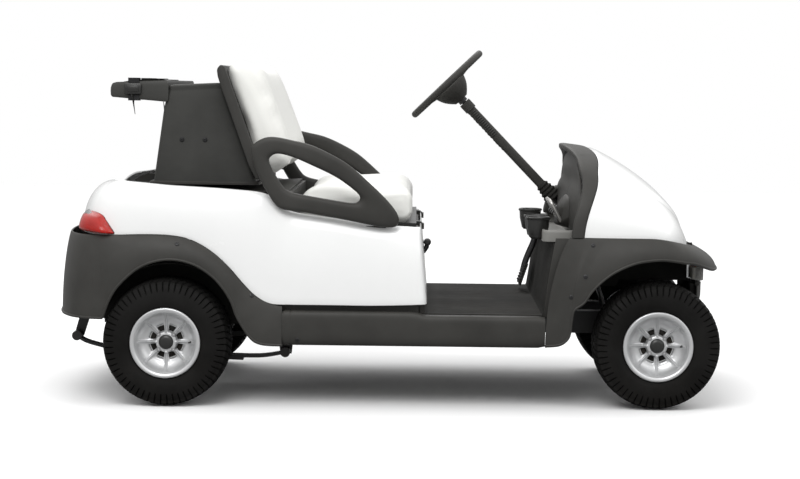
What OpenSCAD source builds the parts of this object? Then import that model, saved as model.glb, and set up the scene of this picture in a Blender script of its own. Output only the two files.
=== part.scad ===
// Two-seat golf cart with a bag well. +X forward, +Y left, +Z up, millimetres.
// The origin is on the ground below the middle of the length.

/* [Overall] */
// Distance between the axles
wheelbase = 1664; // [1500:1:2000]
// Nose ahead of the front axle
front_overhang = 261; // [255:1:320]
// Bumper behind the rear axle
rear_overhang = 387; // [370:1:480]
// Width over the rear fenders
body_width = 1200; // [1160:1:1400]
// Distance between the front tyres' middles
front_tread = 876; // [840:1:1020]
// Distance between the rear tyres' middles
rear_tread = 978; // [930:1:1170]

/* [Wheels] */
// Tyre radius
tyre_r = 217; // [185:1:220]
// Tyre width
tyre_w = 212; // [170:1:216]
// Rim radius over its flange
rim_r = 117; // [110:1:135]
// Radius of the stub that a wheel turns on
stub_r = 15; // [12:0.5:18]

/* [Body] */
// Wall of the moulded panels
wall = 6; // [4:0.5:8]
// Top of the floor
floor_z = 312; // [300:1:330]
// Top of the nose line at the side
nose_line_z = 585; // [570:1:600]
// Bottom of the rear fenders
skirt_z = 299; // [280:1:320]
// Top of the seat base
base_z = 608; // [600:1:612]

/* [Seat] */
// Width of the cushions
cushion_w = 976; // [900:1:990]
// Thickness of the seat cushion
cushion_t = 120; // [90:1:135]
// Depth of the seat cushion
cushion_d = 430; // [380:1:440]

/* [Steering] */
// Radius of the steering wheel
steer_r = 178; // [150:1:190]
// Radius of its rim
grip_r = 13; // [10:0.5:16]
// Slope of the column
column_slope = 46; // [42:1:50]
// Distance of the steering wheel from the middle
steer_y = 290; // [250:1:310]
// Kingpin's distance from the middle
kingpin_y = 310; // [290:1:315]
// Kingpin radius
kingpin_r = 9; // [7:0.5:12]
// Length of the steering arm
arm_l = 110; // [95:1:120]

/* [Hidden] */
$fn = 48;
fit = 0.05;                  // radial clearance of a shaft in its bore
seam = 0.5;                  // gap between neighbouring panels
length = front_overhang + wheelbase + rear_overhang;
fa = length / 2 - front_overhang;        // front axle
ra = rear_overhang - length / 2;         // rear axle
axle_z = tyre_r;

// ---- curves and walls -------------------------------------------------------

function mix(a, b, t) = a + (b - a) * t;
// Point at t on the smooth span from b to c, with a and d its neighbours
function span(a, b, c, d, t) = b + (c - a) * t / 2
    + (2 * a - 5 * b + 4 * c - d) * t * t / 2 + (3 * b - a - 3 * c + d) * pow(t, 3) / 2;
// Smooth open curve through p with n steps to a span
function curve(p, n) = [
    for (i = [0:len(p) - 2], k = [0:n - 1])
        span(p[max(i - 1, 0)], p[i], p[i + 1], p[min(i + 2, len(p) - 1)], k / n),
    p[len(p) - 1]];
// Smooth closed curve through p with n steps to a span
function ring(p, n) = let (m = len(p)) [
    for (i = [0:m - 1], k = [0:n - 1])
        span(p[(i + m - 1) % m], p[i], p[(i + 1) % m], p[(i + 2) % m], k / n)];
function mirrored(rows) = [for (i = [len(rows) - 1:-1:0]) [for (p = rows[i]) [p.x, -p.y, p.z]]];
// Outward unit normal of grid g at row i, column j
function normal_at(g, i, j) = let (
    u = g[min(i + 1, len(g) - 1)][j] - g[max(i - 1, 0)][j],
    v = g[i][min(j + 1, len(g[0]) - 1)] - g[i][max(j - 1, 0)],
    c = cross(u, v)) c / norm(c);
// Grid g moved by t along its normals
function moved(g, t) = [for (i = [0:len(g) - 1]) [for (j = [0:len(g[0]) - 1])
    g[i][j] + t * normal_at(g, i, j)]];
// Closed wall between grids a and b, where b lies on the side that the normals of a point to
module wall_between(a, b) {
    r = len(a);
    c = len(a[0]);
    function id(i, j, k) = k * r * c + i * c + j;
    function quad(p, q, s, t) = [[p, q, s], [p, s, t]];
    polyhedron(concat([for (row = a) each row], [for (row = b) each row]), concat(
        [for (i = [0:r - 2], j = [0:c - 2])
            each quad(id(i, j, 0), id(i + 1, j, 0), id(i + 1, j + 1, 0), id(i, j + 1, 0))],
        [for (i = [0:r - 2], j = [0:c - 2])
            each quad(id(i, j, 1), id(i, j + 1, 1), id(i + 1, j + 1, 1), id(i + 1, j, 1))],
        [for (j = [0:c - 2]) each quad(id(0, j, 0), id(0, j + 1, 0), id(0, j + 1, 1), id(0, j, 1))],
        [for (j = [0:c - 2])
            each quad(id(r - 1, j + 1, 0), id(r - 1, j, 0), id(r - 1, j, 1), id(r - 1, j + 1, 1))],
        [for (i = [0:r - 2]) each quad(id(i + 1, 0, 0), id(i, 0, 0), id(i, 0, 1), id(i + 1, 0, 1))],
        [for (i = [0:r - 2])
            each quad(id(i, c - 1, 0), id(i + 1, c - 1, 0), id(i + 1, c - 1, 1), id(i, c - 1, 1))]));
}
// Side-view outline of [x, z] points carried across from y0 to y1
module across(y0, y1) {
    translate([0, y1, 0]) rotate([90, 0, 0]) linear_extrude(y1 - y0) children();
}
// Children and their mirror image on the other side
module both() {
    children();
    mirror([0, 1, 0]) children();
}
// Cylinder of radius r from point p to point q
module rod(p, q, r) {
    d = q - p;
    translate(p) rotate([0, acos(d.z / norm(d)), atan2(d.y, d.x)]) cylinder(r = r, h = norm(d));
}
module box(low, high) {
    translate(low) cube(high - low);
}
// Rounded rectangle with corner radius r
module round_rect(x0, y0, x1, y1, r) {
    union() {
        translate([x0 + r, y0]) square([x1 - x0 - 2 * r, y1 - y0]);
        translate([x0, y0 + r]) square([x1 - x0, y1 - y0 - 2 * r]);
        for (x = [x0 + r, x1 - r], y = [y0 + r, y1 - r]) translate([x, y]) circle(r);
    }
}

// ---- body surfaces -----------------------------------------------------------

// Half width at x of a plan outline that is w wide up to x = s and closes at x = tip
function plan_y(x, w, s, tip, n) =
    (x - s) * (tip - s) <= 0 ? w : w * pow(max(0, 1 - pow((x - s) / (tip - s), n)), 1 / n);
// Point of the closing part of that outline at angle a, 90 at the tip
function plan_at(a, w, s, tip, n) =
    [s + (tip - s) * pow(sin(a), 2 / n), -w * pow(max(0, cos(a)), 2 / n)];
function plan_angle(x, s, tip, n) = asin(pow((x - s) / (tip - s), n / 2));
// Row of k + 1 points from u to l, moving out as a sine and down as power e of the step
function roll(u, l, e, k) = [for (j = [0:k]) let (t = j / k)
    [mix(u.x, l.x, sin(90 * t)), mix(u.y, l.y, sin(90 * t)), mix(u.z, l.z, pow(t, e))]];
// Roll rows down one side and round the end: rows [upper x, upper z, lower x, lower z, added width],
// then the closing outline from the last row to y = cut, at the heights zu and zl of its x
function panel_rows(rows, wu, wl, s, tip_u, tip_l, n, zu, zl, e, k, m, cut = 0) = let (
    last = rows[len(rows) - 1],
    au = plan_angle(last[0], s, tip_u, n),
    al = plan_angle(last[2], s, tip_l, n),
    end_u = acos(pow(cut / wu, n / 2)),
    end_l = acos(pow(cut / wl, n / 2)))
    concat([for (r = rows) roll([r[0], -plan_y(r[0], wu, s, tip_u, n), r[1]],
            [r[2], -plan_y(r[2], wl, s, tip_l, n) - r[4], r[3]], e, k)],
        [for (i = [1:m]) let (
            u = plan_at(mix(au, end_u, i / m), wu, s, tip_u, n),
            l = plan_at(mix(al, end_l, i / m), wl, s, tip_l, n))
            roll([u.x, u.y, zu(u.x)], [l.x, l.y, zl(l.x)], e, k)]);
// The whole panel from the right side round to the left
function round_panel(half) = concat(half, [for (i = [1:len(half) - 1]) mirrored(half)[i]]);

corner = 3;                  // squareness of the corners seen from above
rear_w = body_width / 2;
body_w = rear_w - 40;        // half width of the rear body at its foot
sill_w = rear_w - 22;
nose_w = sill_w;

// Edge between the rear body and the rear fender, x from the rear axle, and the arch lip below it
arch_x = 18;
arch_rx = 238;
arch_rz = 282;
function arch(a) = [arch_x + arch_rx * cos(a), axle_z + arch_rz * sin(a)];
fender_front_x = 392;
fender_edge_z = 576;
fender_edge = [[fender_front_x, 342], [353, 352], [303, 378], [262, 418], [218, 468], [168, 515],
    [117, 549], [67, 570], [10, 579], [-50, 581], [-110, 580], [-165, 578], [-210, 577], [-245, 576]];
fender_lip = [[fender_front_x, 212], [325, 216], [287, 238], arch(18), arch(30), arch(42), arch(54),
    arch(69), arch(85), arch(101), arch(118), arch(137), arch(150), arch(163)];
function fender_rows() = [for (i = [0:len(fender_edge) - 1])
    [ra + fender_edge[i].x, fender_edge[i].y, ra + fender_lip[i].x,
        i == len(fender_edge) - 1 ? skirt_z : fender_lip[i].y, (sill_w - rear_w) * max(0, 1 - i / 5)]];
rear_s = -160;               // where the rear corners begin
fender_half = panel_rows(curve(fender_rows(), 2), rear_w - 38, rear_w, ra + rear_s,
    ra - rear_overhang + 44, ra - rear_overhang, corner, function (x) fender_edge_z,
    function (x) skirt_z, 1.33, 7, 9);

// Rear body: top edge above the same edge
body_top = [[850, base_z], [700, base_z], [550, base_z], [450, base_z + 8], [402, 640],
    [372, 690], [331, 716], [290, 724], [240, 728], [185, 732], [130, 735], [67, 738], [10, 741],
    [-50, 746], [-110, 751], [-150, 754], [-175, 752], [-190, 750]];
body_foot_z = 352;
body_low = concat([[873, 357], [705, body_foot_z], [570, body_foot_z], [475, body_foot_z],
    [420, body_foot_z]], [for (i = [1:13]) fender_edge[i] + [0, 3]]);
function body_rows() = [for (i = [0:len(body_top) - 1])
    [ra + body_top[i].x, body_top[i].y, ra + body_low[i].x, body_low[i].y, 0]];
body_tip = 312;              // rear face of the body behind the rear axle
body_s = rear_s + 60;        // where the rear body's corners begin
body_roll = 45;              // how far its top leans in
body_top_tip = 205;          // rear end of its top edge
body_top_z = 750;
body_end_z = fender_edge_z + 3;
well_w = 345;                // half width of the bag well over its walls
body_half = panel_rows(body_rows(), body_w - body_roll, body_w, ra + body_s, ra - body_top_tip,
    ra - body_tip, corner, function (x) body_top_z, function (x) body_end_z, 1.85, 7, 7, well_w + seam);

// Nose: edge between cowl and fender, and the lip below it, x from the front axle
nose_edge = [-304, -275, -250, -228, -205, -180, -155, -125, -85, -40, 5, 40, 65];
nose_arch_r = 297;
function nose_arch(a) = [nose_arch_r * cos(a), axle_z + nose_arch_r * sin(a)];
brow = 100;                  // how far the brow stands out of the cowl at the middle
brow_z = 412;                // under the nose at the middle
brow_side_z = 503;           // the same where the front corner begins
nose_tip_z = 541;            // edge between cowl and fender at the middle
function nose_line(x) = mix(nose_line_z, nose_tip_z,
    pow(max(0, x + 40) / (front_overhang - brow + 40), 2));
nose_lip = [[-385, 219], [-334, 225], [-306, 250], [-298, 300], [-290, 340], nose_arch(150),
    nose_arch(142), nose_arch(133), nose_arch(121), nose_arch(106), nose_arch(90), nose_arch(79), [85, brow_side_z]];
function nose_rows() = [for (i = [0:len(nose_edge) - 1])
    [fa + nose_edge[i], nose_line(nose_edge[i]), fa + nose_lip[i].x, nose_lip[i].y, 0]];
nose_s = 10;                 // where the front corners begin
nose_n = 2.5;
function brow_lip(x) = let (t = min(1, max(0, (x - 85) / (front_overhang - 85))))
    mix(brow_side_z, brow_z, t * t * (3 - 2 * t));
nose_half = panel_rows(nose_rows(), nose_w - 35, nose_w, fa + nose_s, fa + front_overhang - brow,
    fa + front_overhang, nose_n, function (x) nose_line(x - fa), function (x) brow_lip(x - fa),
    1.33, 7, 10);

// Cowl: arched sections that narrow and drop to the nose, x from the front axle
cowl_crown = [[-240, 872], [-212, 862], [-161, 840], [-88, 803], [-14, 756], [41, 709], [78, 670],
    [108, 625], [134, 582], [157, nose_tip_z + 5]];
// How far the cowl's rear edge stands ahead of its crown at share h of its height
function cowl_edge(h) = 40 * sin(180 * pow(h, 1.9)) - 16 * (1 - h);
function cowl_sections() = let (
    c = curve(cowl_crown, 2),
    tip = front_overhang - brow - 1)
    [for (i = [0:len(c) - 1]) let (
        x = c[i].x)
        [x, c[i].y, plan_y(x, nose_w - 36, nose_s, tip, nose_n), nose_line(x) + seam]];
// Section points from the right foot over the crown to the left foot
function cowl_row(s, grow, k) = let (
    up = pow(1 - (s[0] + 240) / 400, 2))
    [for (j = [0:k]) let (
        a = 180 * j / k,
        h = pow(sin(a), 2 / 2.5),
        z = mix(s[3], s[1] + grow, h))
        [fa + s[0] + cowl_edge(h) * up, -(s[2] + grow) * sign(cos(a)) * pow(abs(cos(a)), 2 / 2.7), z]];

module front_cowl() {
    g = [for (s = cowl_sections()) cowl_row(s, 0, 26)];
    color("white") wall_between(moved(g, -wall), g);
}

// Black hoop round the cowl's rear edge, wider over the top than at its feet
hoop_t = 24;
hoop_gap = 3;                // between the hoop and the cowl's rear edge
module dash_trim() {
    s0 = cowl_sections()[0];
    k = 26;
    function hoop_row(t, grow) = [for (j = [0:k]) let (
        a = 180 * j / k,
        p = cowl_row([s0[0], s0[1], s0[2], s0[3]], grow, k)[j],
        wide = mix(42, 96, pow(sin(a), 3)))
        [p.x - hoop_gap - wide * t, p.y, p.z + 12 * t * sin(a)]];
    outer = [for (t = [0:0.25:1]) hoop_row(t, 7 - 12 * pow(2 * t - 1, 4))];
    inner = [for (t = [0:0.25:1]) hoop_row(t, 7 - hoop_t)];
    color("dimgray") wall_between(outer, inner);
}

module front_fenders() {
    g = round_panel(nose_half);
    color("dimgray") wall_between(g, moved(g, wall));
}

// Lower front panel between the wheels, its blocks on the rails and the bar for the headlights
bumper_w = 206;              // half width
bumper_x = 204;              // its flat back
bumper_z = 240;
bumper_top = brow_z - 8;
module front_bumper() {
    face = curve([[216, -bumper_w + 3], [228, -188], [233, -130], [236, 0], [233, 130], [228, 188],
        [216, bumper_w - 3]], 4);
    color("dimgray") translate([fa, 0, 0]) union() {
        translate([0, 0, bumper_z]) linear_extrude(bumper_top - bumper_z)
            polygon(concat([[bumper_x, -bumper_w]], face, [[bumper_x, bumper_w]]));
        both() box([rail_front + 0.3, rail_y - 16, rail_z + 26],
            [bumper_x + 4, rail_y + 16, rail_z + rail_h - 8]);
        box([160, -300, bumper_top], [176, 300, lamp_z - 0.3]);
        both() box([166, 120, bumper_top - 18], [224, 160, brow_z + 4]);
    }
}

// Headlights under the brow, one at each corner
lamp_z = 428;
lamp_h = 50;
module headlights() {
    color("gainsboro") both() translate([fa, 0, lamp_z]) linear_extrude(lamp_h)
        polygon([[128, -262], [176, -262], [178, -300], [170, -350], [160, -366], [150, -366]]);
}

// Dash: bulkhead under the cowl's rear edge, tray with a lip, and cup holders
dash_x = fa - 276;           // rear face of the bulkhead
tray_x = fa - 392;           // rear edge of the tray
tray_z = 566;
cup_r = 44;
cup_ys = [-372, -262, 110];
module dash() {
    s0 = cowl_sections()[0];
    color("gray") union() {
        difference() {
            across_x(dash_x, dash_x + 12) polygon([for (p = cowl_row(s0, 6.5 - hoop_t, 26)) [p.y, p.z]]);
            column_cut(steer_shaft_r + 16);
            box([dash_x - 60, -600, 500], [dash_x + 60, 600, tray_z]);
        }
        difference() {
            box([tray_x, -470, tray_z], [dash_x, 470, tray_z + 38]);
            box([tray_x + 10, -462, tray_z + 8], [dash_x - 8, -90, tray_z + 60]);
            box([tray_x + 10, 60, tray_z + 8], [dash_x - 8, 200, tray_z + 60]);
            box([tray_x + 10, 380, tray_z + 8], [dash_x - 8, 462, tray_z + 60]);
            column_cut(steer_shaft_r + 16);
            for (y = cup_ys) translate([tray_x - 4, y, tray_z - 1]) cylinder(r = cup_r + 1, h = 200);
        }
        for (y = cup_ys) difference() {
            translate([tray_x - 4, y, tray_z]) cylinder(r = cup_r + 4, h = 92);
            translate([tray_x - 4, y, tray_z + 5]) cylinder(r = cup_r, h = 100);
        }
    }
}
// Outline in the YZ plane carried along x
module across_x(x0, x1) {
    translate([x0, 0, 0]) rotate([90, 0, 90]) linear_extrude(x1 - x0) children();
}

// Floor with the toe board that rises under the dash
toe_x = fa - 444;            // foot of the toe board
toe_top = [fa - 350, tray_z];
function toe_at(z) = mix(toe_x, toe_top.x, (z - floor_z) / (toe_top.y - floor_z));
floor_t = 12;
floor_w = sill_w - 46;       // half width
floor_back = ra + 862;
module floor_pan() {
    color("dimgray") across(-floor_w, floor_w) polygon([
        [floor_back, floor_z - floor_t], [toe_x + 4, floor_z - floor_t],
        [toe_top.x + floor_t, toe_top.y], toe_top, [toe_x, floor_z], [floor_back, floor_z]]);
}

// Sills from the rear fenders to the nose panel
sill_top = 318;
sill_foot = 212;
sill_back = ra + fender_front_x + seam;
sill_front = fa + nose_lip[0].x - seam;
module rocker_panels() {
    // dark strip set back under the rear body
    color("dimgray") both() box([sill_back, floor_w + seam, sill_top - 1],
        [kick_low - kick_t - 6, floor_w + seam + wall, body_foot_z + 30]);
    color("dimgray") both() across_x(sill_back, sill_front) mirror([1, 0]) polygon([
            [-floor_w - seam, floor_z - 2], [-floor_w - seam, sill_top],
            [-sill_w + 16, sill_top], [-sill_w + 6, sill_top - 5], [-sill_w + 1, sill_top - 16],
            [-sill_w, sill_top - 40], [-sill_w + 2, sill_foot + 26], [-sill_w + 8, sill_foot + 8],
            [-sill_w + 20, sill_foot], [-sill_w + 34, sill_foot], [-sill_w + 34, sill_foot + wall],
            [-sill_w + 20, sill_foot + wall], [-sill_w + 8 + wall, sill_foot + 28],
            [-sill_w + wall, sill_top - 40], [-sill_w + 20, sill_top - 12],
            [-floor_w - 10, sill_top - 12], [-floor_w - 10, floor_z - 2]]);
}

module rear_body() {
    color("white") both() wall_between(moved(body_half, -wall), body_half);
}

module rear_fenders() {
    g = round_panel(fender_half);
    color("dimgray") wall_between(moved(g, -wall), g);
}

// Point of the rear body's skin at plan angle a and height z, grown outward
function skin_point(a, z, grow) = let (
    f = sin(90 * pow((body_top_z - z) / (body_top_z - body_end_z), 1 / 1.85)),
    u = plan_at(a, body_w - body_roll + grow, ra + body_s, ra - body_top_tip - grow, corner),
    l = plan_at(a, body_w + grow, ra + body_s, ra - body_tip - grow, corner))
    [mix(u.x, l.x, f), mix(u.y, l.y, f), z];
// Red lamps over the fender at the rear corners
lamp_grow = 38;              // how far a lamp's face stands out of the body
lamp_top = 662;
module taillights() {
    k = 8;
    function lamp(i, out) = let (
        t = i / k,
        top = mix(600, lamp_top, sin(90 * min(1, t * 1.5))))
        [for (j = [0:5]) let (z = mix(body_end_z + 3, top, j / 5))
            skin_point(mix(mix(9, 24, j / 5), 47, t), z, out * (1 - 0.4 * pow(j / 5, 3)))];
    outer = [for (i = [0:k]) lamp(i, lamp_grow * (1 - 0.6 * pow(2 * i / k - 1, 6)))];
    inner = [for (i = [0:k]) lamp(i, 0.6)];
    color("red") both() wall_between(outer, inner);
}

// Seat base: kick panel, side walls inside the body, shelf that the seat rests on
kick_low = ra + 871;
kick_high = ra + 848;
kick_t = 14;
base_w = body_w - body_roll - wall - seam;       // half width of the shelf inside the body
bay_w = 440;                 // half width of the bay under the seat
bay_back = ra + 412;
function kick_at(z) = mix(kick_low, kick_high, (z - floor_z) / (base_z - floor_z));
module seat_base() {
    skin = roll([0, body_w - body_roll - wall - 5, base_z], [0, body_w - wall - 3, body_foot_z], 1.85, 7);
    half = concat([for (p = skin) [p.y, p.z]], [[floor_w - seam, body_foot_z], [floor_w - seam, floor_z + seam]]);
    color("white") union() {
        intersection() {
            across(-body_w, body_w) polygon([[kick_low - kick_t, floor_z + seam], [kick_low, floor_z + seam],
                [kick_high, base_z], [kick_high - kick_t, base_z]]);
            across_x(kick_high - 50, kick_low + 50)
                polygon(concat(half, [for (i = [len(half) - 1:-1:0]) [-half[i].x, half[i].y]]));
        }
        both() box([bay_back - 4, -base_w, base_z - 16], [kick_high - kick_t + 4, -bay_w, base_z]);
        both() across(-bay_w - 10, -bay_w) polygon([[bay_back - 4, floor_z - floor_t],
            [kick_low - kick_t + 4, floor_z - floor_t], [kick_low - kick_t + 4, floor_z + 2],
            [kick_high - kick_t + 4, base_z - 2], [bay_back - 4, base_z - 2]]);
        box([bay_back - 12, -base_w + 14, 380], [bay_back, base_w - 14, deck_at(deck_front) - deck_t]);
        // hinge pins on ears at the top of the kick panel
        both() {
            rod([hinge_x, -330, hinge_z], [hinge_x, -270, hinge_z], hinge_r);
            for (y = [-330, -276]) box([kick_high - 4, y, hinge_z - 12], [hinge_x + 8, y + 6, hinge_z + 6]);
        }
    }
}
hinge_x = kick_high + 12;
hinge_z = base_z - 2;
hinge_r = 4;

// Seat pan with the two hinge leaves
pan_t = 16;
seat_front = ra + 849;
module seat_pan() {
    color("dimgray") difference() {
        union() {
            box([seat_front - cushion_d + 10, -cushion_w / 2 + 14, base_z + seam],
                [seat_front - 8, cushion_w / 2 - 14, base_z + pan_t]);
            both() across(-323, -277) union() {
                translate([hinge_x, hinge_z]) circle(hinge_r + 4);
                polygon([[hinge_x - 5, base_z + 2], [seat_front - 30, base_z + 2],
                    [seat_front - 30, base_z + pan_t], [hinge_x - 6, base_z + pan_t - 4], [hinge_x + 4, hinge_z + 7]]);
            }
        }
        rod([hinge_x, -400, hinge_z], [hinge_x, 400, hinge_z], hinge_r + fit);
    }
}

// Cushions: side outline with rounded corners across the width
module seat_cushion() {
    color("whitesmoke") across(-cushion_w / 2, cushion_w / 2)
        translate([0, base_z + pan_t + seam]) round_rect(seat_front - cushion_d, 0, seat_front, cushion_t, 34);
}

// Backrest leans back; its outline is in the side view, x from the rear axle
back_low = [318, 768];       // foot of the backrest's rear face
back_high = [180, 1150];
back_lean = atan2(back_high.y - back_low.y, back_high.x - back_low.x);
back_l = norm(back_high - back_low);
back_t = 104;
module along_back() {
    translate([ra + back_low.x, 0, back_low.y]) rotate([0, 90 - back_lean, 0]) children();
}
module backrest_cushion() {
    color("whitesmoke") along_back() across(-cushion_w / 2, cushion_w / 2)
        round_rect(6, 6, back_t, back_l + 10, 30);
}
shell_t = 30;
module backrest_shell() {
    color("dimgray") along_back() across(-cushion_w / 2 - 2, cushion_w / 2 + 2)
        polygon(concat([[5.5, 6], [5.5, back_l - 6]],
            curve([[-6, back_l + 2], [-22, back_l - 6], [-28, back_l - 30]], 3),
            [[-shell_t, back_l - 60], [-shell_t, 60], [-shell_t + 8, 6]]));
}

// Hip restraints: closed loops outside the seat, x from the rear axle
hip_t = 42;
hip_y = body_w - 12;         // middle of a loop
hip_out = [[283, 869], [297, 893], [331, 911], [368, 913], [420, 903], [480, 889], [545, 861],
    [614, 821], [685, 760], [747, 700], [777, 660], [783, 634], [773, 615], [748, 612], [700, 618],
    [592, 639], [474, 659], [392, 670], [363, 690], [338, 728], [313, 772], [293, 820]];
hip_in = [[344, 835], [356, 852], [380, 857], [427, 845], [493, 817], [565, 783], [620, 746],
    [650, 718], [645, 700], [620, 695], [520, 710], [440, 724], [406, 735], [389, 751], [370, 779], [354, 806]];
module armrests() {
    color("dimgray") both() across(-hip_y - hip_t / 2, -hip_y + hip_t / 2) translate([ra, 0]) difference() {
        polygon(ring(hip_out, 3));
        polygon(ring(hip_in, 3));
    }
    // foot on the seat base and boss on the backrest shell
    color("dimgray") both() box([ra + 660, -hip_y + hip_t / 2 - 1, base_z + 0.4],
        [ra + 740, -cushion_w / 2 - 6, base_z + 7]);
    color("dimgray") both() box([ra + 660, -hip_y + 2, base_z + 0.4],
        [ra + 740, -hip_y + hip_t / 2, base_z + 16]);
    color("dimgray") both() rod([ra + 322, -hip_y, 775], [ra + 322, -cushion_w / 2 - 2.4, 775], 14);
}

// Basket behind the backrest: open-topped bin, x from the rear axle
bin_w = 400;                 // half width
bin_t = 8;
bin_back = [[-64, 749], [-27, 1020], [-10, 1078], [28, 1086]];
bin_floor = 830;
bin_top = 1092;
// Rear face of the backrest shell at height z
function behind_back(z) = back_low.x - shell_t / sin(back_lean)
    + (z - back_low.y) * (back_high.x - back_low.x) / (back_high.y - back_low.y);
module basket() {
    color("dimgray") difference() {
        across(-bin_w, bin_w) translate([ra, 0]) polygon(concat(bin_back,
            [[behind_back(bin_top) - seam, bin_top], [behind_back(740) - seam, deck_at(280) + seam]],
            [[bin_back[0].x, deck_at(bin_back[0].x) + seam]]));
        across(-bin_w + bin_t, bin_w - bin_t) translate([ra, 0]) {
            polygon([[-42, bin_floor], [behind_back(bin_floor) - 10, bin_floor],
                [behind_back(bin_top) - 10, bin_top + 20], [4, bin_top + 20], [-16, 1020]]);
            polygon([[-54, 740], [behind_back(740) - 12, 700],
                [behind_back(bin_floor) - 10, bin_floor - 8], [-43, bin_floor - 8]]);
        }
    }
}

// Bag holder: top bar with two scallops for the bags, x from the rear axle
holder_side = [[-213, 1041], [-207, 1086], [-198, 1091], [-94, 1103], [-60, 1101], [-10.5, 1097],
    [-10.5, 1078], [-25.8, 1026], [-111, 1035]];
bag_r = 118;
bag_y = 196;
bag_x = ra - 172;
module bag_holder() {
    color("dimgray") difference() {
        across(-bin_w - 6, bin_w + 6) translate([ra, 0]) polygon(holder_side);
        both() translate([0, 0, 1000]) linear_extrude(120) {
            translate([bag_x, bag_y]) circle(bag_r);
            translate([bag_x - 132, bag_y - bag_r]) square([132, 2 * bag_r]);
        }
    }
}

// Bag well: deck inside the rear body, with a bay open to the rear between its sides
deck_w = body_w - body_roll - 8;         // half width of the deck
deck_t = 8;
deck_front = 398;
function deck_at(x) = 749 - 22 * min(1, max(0, x + 124) / 374);
well_front = -4;
well_z = 584;                // floor of the bay
module bag_well() {
    color("dimgray") union() {
        difference() {
            intersection() {
                across(-deck_w, deck_w) translate([ra, 0]) polygon([[-220, deck_at(-124)],
                    [-124, deck_at(-124)], [250, deck_at(250)], [deck_front, deck_at(250)],
                    [deck_front, deck_at(250) - deck_t], [250, deck_at(250) - deck_t],
                    [-124, deck_at(-124) - deck_t], [-220, deck_at(-124) - deck_t]]);
                linear_extrude(1000) polygon(concat([[ra + deck_front, deck_w], [ra + deck_front, -deck_w]],
                    [for (a = [0:6:180]) plan_at(a, deck_w, ra + body_s, ra - body_top_tip + 14, corner)]));
            }
            translate([ra, 0, 700]) box([-300, -well_w, 0], [well_front, well_w, 100]);
        }
        both() across(-well_w, -well_w + deck_t) translate([ra, 0]) polygon([[well_front, well_z - deck_t],
            [well_front, 738], [-176, 748], [-214, 735], [-250, 700], [-276, 645], [-288, well_z - deck_t]]);
        translate([ra, 0, 0]) box([-286, -well_w, well_z - deck_t], [well_front, well_w, well_z]);
        translate([ra, 0, 0]) box([-322, 4 - well_w, well_z - deck_t], [-280, well_w - 4, well_z]);
        translate([ra, 0, 0]) box([well_front, -well_w, well_z - deck_t], [well_front + deck_t, well_w, 738]);
    }
}

// ---- steering ------------------------------------------------------------------

steer_x = fa - 714;          // centre of the steering wheel
steer_z = 1098;
steer_shaft_r = 9;
pod_r = 62;                  // cover under the middle of the steering wheel
column_r = 18;
boot_r = 40;                 // boot at the foot of the column, which meets the dash
column_foot = (dash_x - 0.3 - steer_x - boot_r * sin(column_slope)) / cos(column_slope);
column_top = 96;
// Children with +Z up the steering axis and the origin at the wheel's centre
module along_column() {
    translate([steer_x, steer_y, steer_z]) rotate([0, column_slope - 90, 0]) children();
}
module column_cut(r) {
    along_column() translate([0, 0, -900]) cylinder(r = r, h = 880);
}
module steering_column() {
    color("dimgray") along_column() difference() {
        union() {
            translate([0, 0, -column_foot]) cylinder(r = column_r, h = column_foot - column_top);
            translate([0, 0, -column_top - 34]) cylinder(r = column_r + 5, h = 34);
            translate([0, 0, -column_foot]) cylinder(r1 = boot_r, r2 = column_r, h = 70);
        }
        translate([0, 0, -column_foot - 1]) cylinder(r = steer_shaft_r + fit, h = column_foot);
    }
}
// Rim, spokes, hub cone and the shaft inside the column
module steering_wheel() {
    color("dimgray") along_column() union() {
        rotate_extrude($fn = 72) translate([steer_r - grip_r, 0]) circle(grip_r);
        translate([0, 0, -74]) cylinder(r1 = 24, r2 = pod_r, h = 56);
        translate([0, 0, -18.01]) cylinder(r = pod_r, h = 10);
        for (a = [80, 180, 280]) rotate(a) rotate([0, 0, -90]) translate([-15, 0, 0])
            rotate([90, 0, 90]) linear_extrude(30)
                polygon([[40, -17], [40, -8], [steer_r - 2 * grip_r + 4, 5], [steer_r - 2 * grip_r + 4, -5]]);
        translate([0, 0, -column_top + 4]) cylinder(r = 16, h = column_top - 60);
        translate([0, 0, ball_r + 0.5 - joint_z]) cylinder(r = steer_shaft_r, h = joint_z - 80);
        translate([0, 0, ball_r + 0.5 - joint_z]) cylinder(r = 14, h = 30);
    }
}
joint_z = 704;               // distance down the axis to the lower joint
joint_at = [steer_x + joint_z * cos(column_slope), steer_y, steer_z - joint_z * sin(column_slope)];
rack_x = fa - arm_l;
rack_z = 186;
rack_r = 11;
pinion_y = 60;
ball_r = 13;
lower_end = [rack_x, pinion_y, rack_z + 50];
lower_dir = (lower_end - joint_at) / norm(lower_end - joint_at);
module lower_shaft() {
    color("silver") union() {
        rod(joint_at, lower_end, 9);
        rod(joint_at, joint_at + 34 * lower_dir, ball_r - 2);
        translate(joint_at) sphere(ball_r);
    }
}
rack_l = 200;                // half length of the rack housing
module steering_rack() {
    color("silver") difference() {
        union() {
            rod([rack_x, -rack_l, rack_z], [rack_x, rack_l, rack_z], 24);
            rod(lower_end + 0.4 * lower_dir, lower_end + 40 * lower_dir, 20);
            both() box([rack_x - 20, 120, rack_z + 10], [rack_x + 20, 170, rail_z - 0.01]);
        }
        rod([rack_x, -rack_l - 1, rack_z], [rack_x, rack_l + 1, rack_z], rack_r + fit);
    }
}
eye_r = 15;
arm_z = rack_z - 26;         // top of the steering arms
module tie_rods() {
    color("silver") union() {
        rod([rack_x, -kingpin_y, rack_z], [rack_x, kingpin_y, rack_z], rack_r);
        both() translate([rack_x, kingpin_y, arm_z + 0.4]) cylinder(r = eye_r, h = rack_z + 14 - arm_z);
    }
}

// ---- front suspension ---------------------------------------------------------

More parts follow.
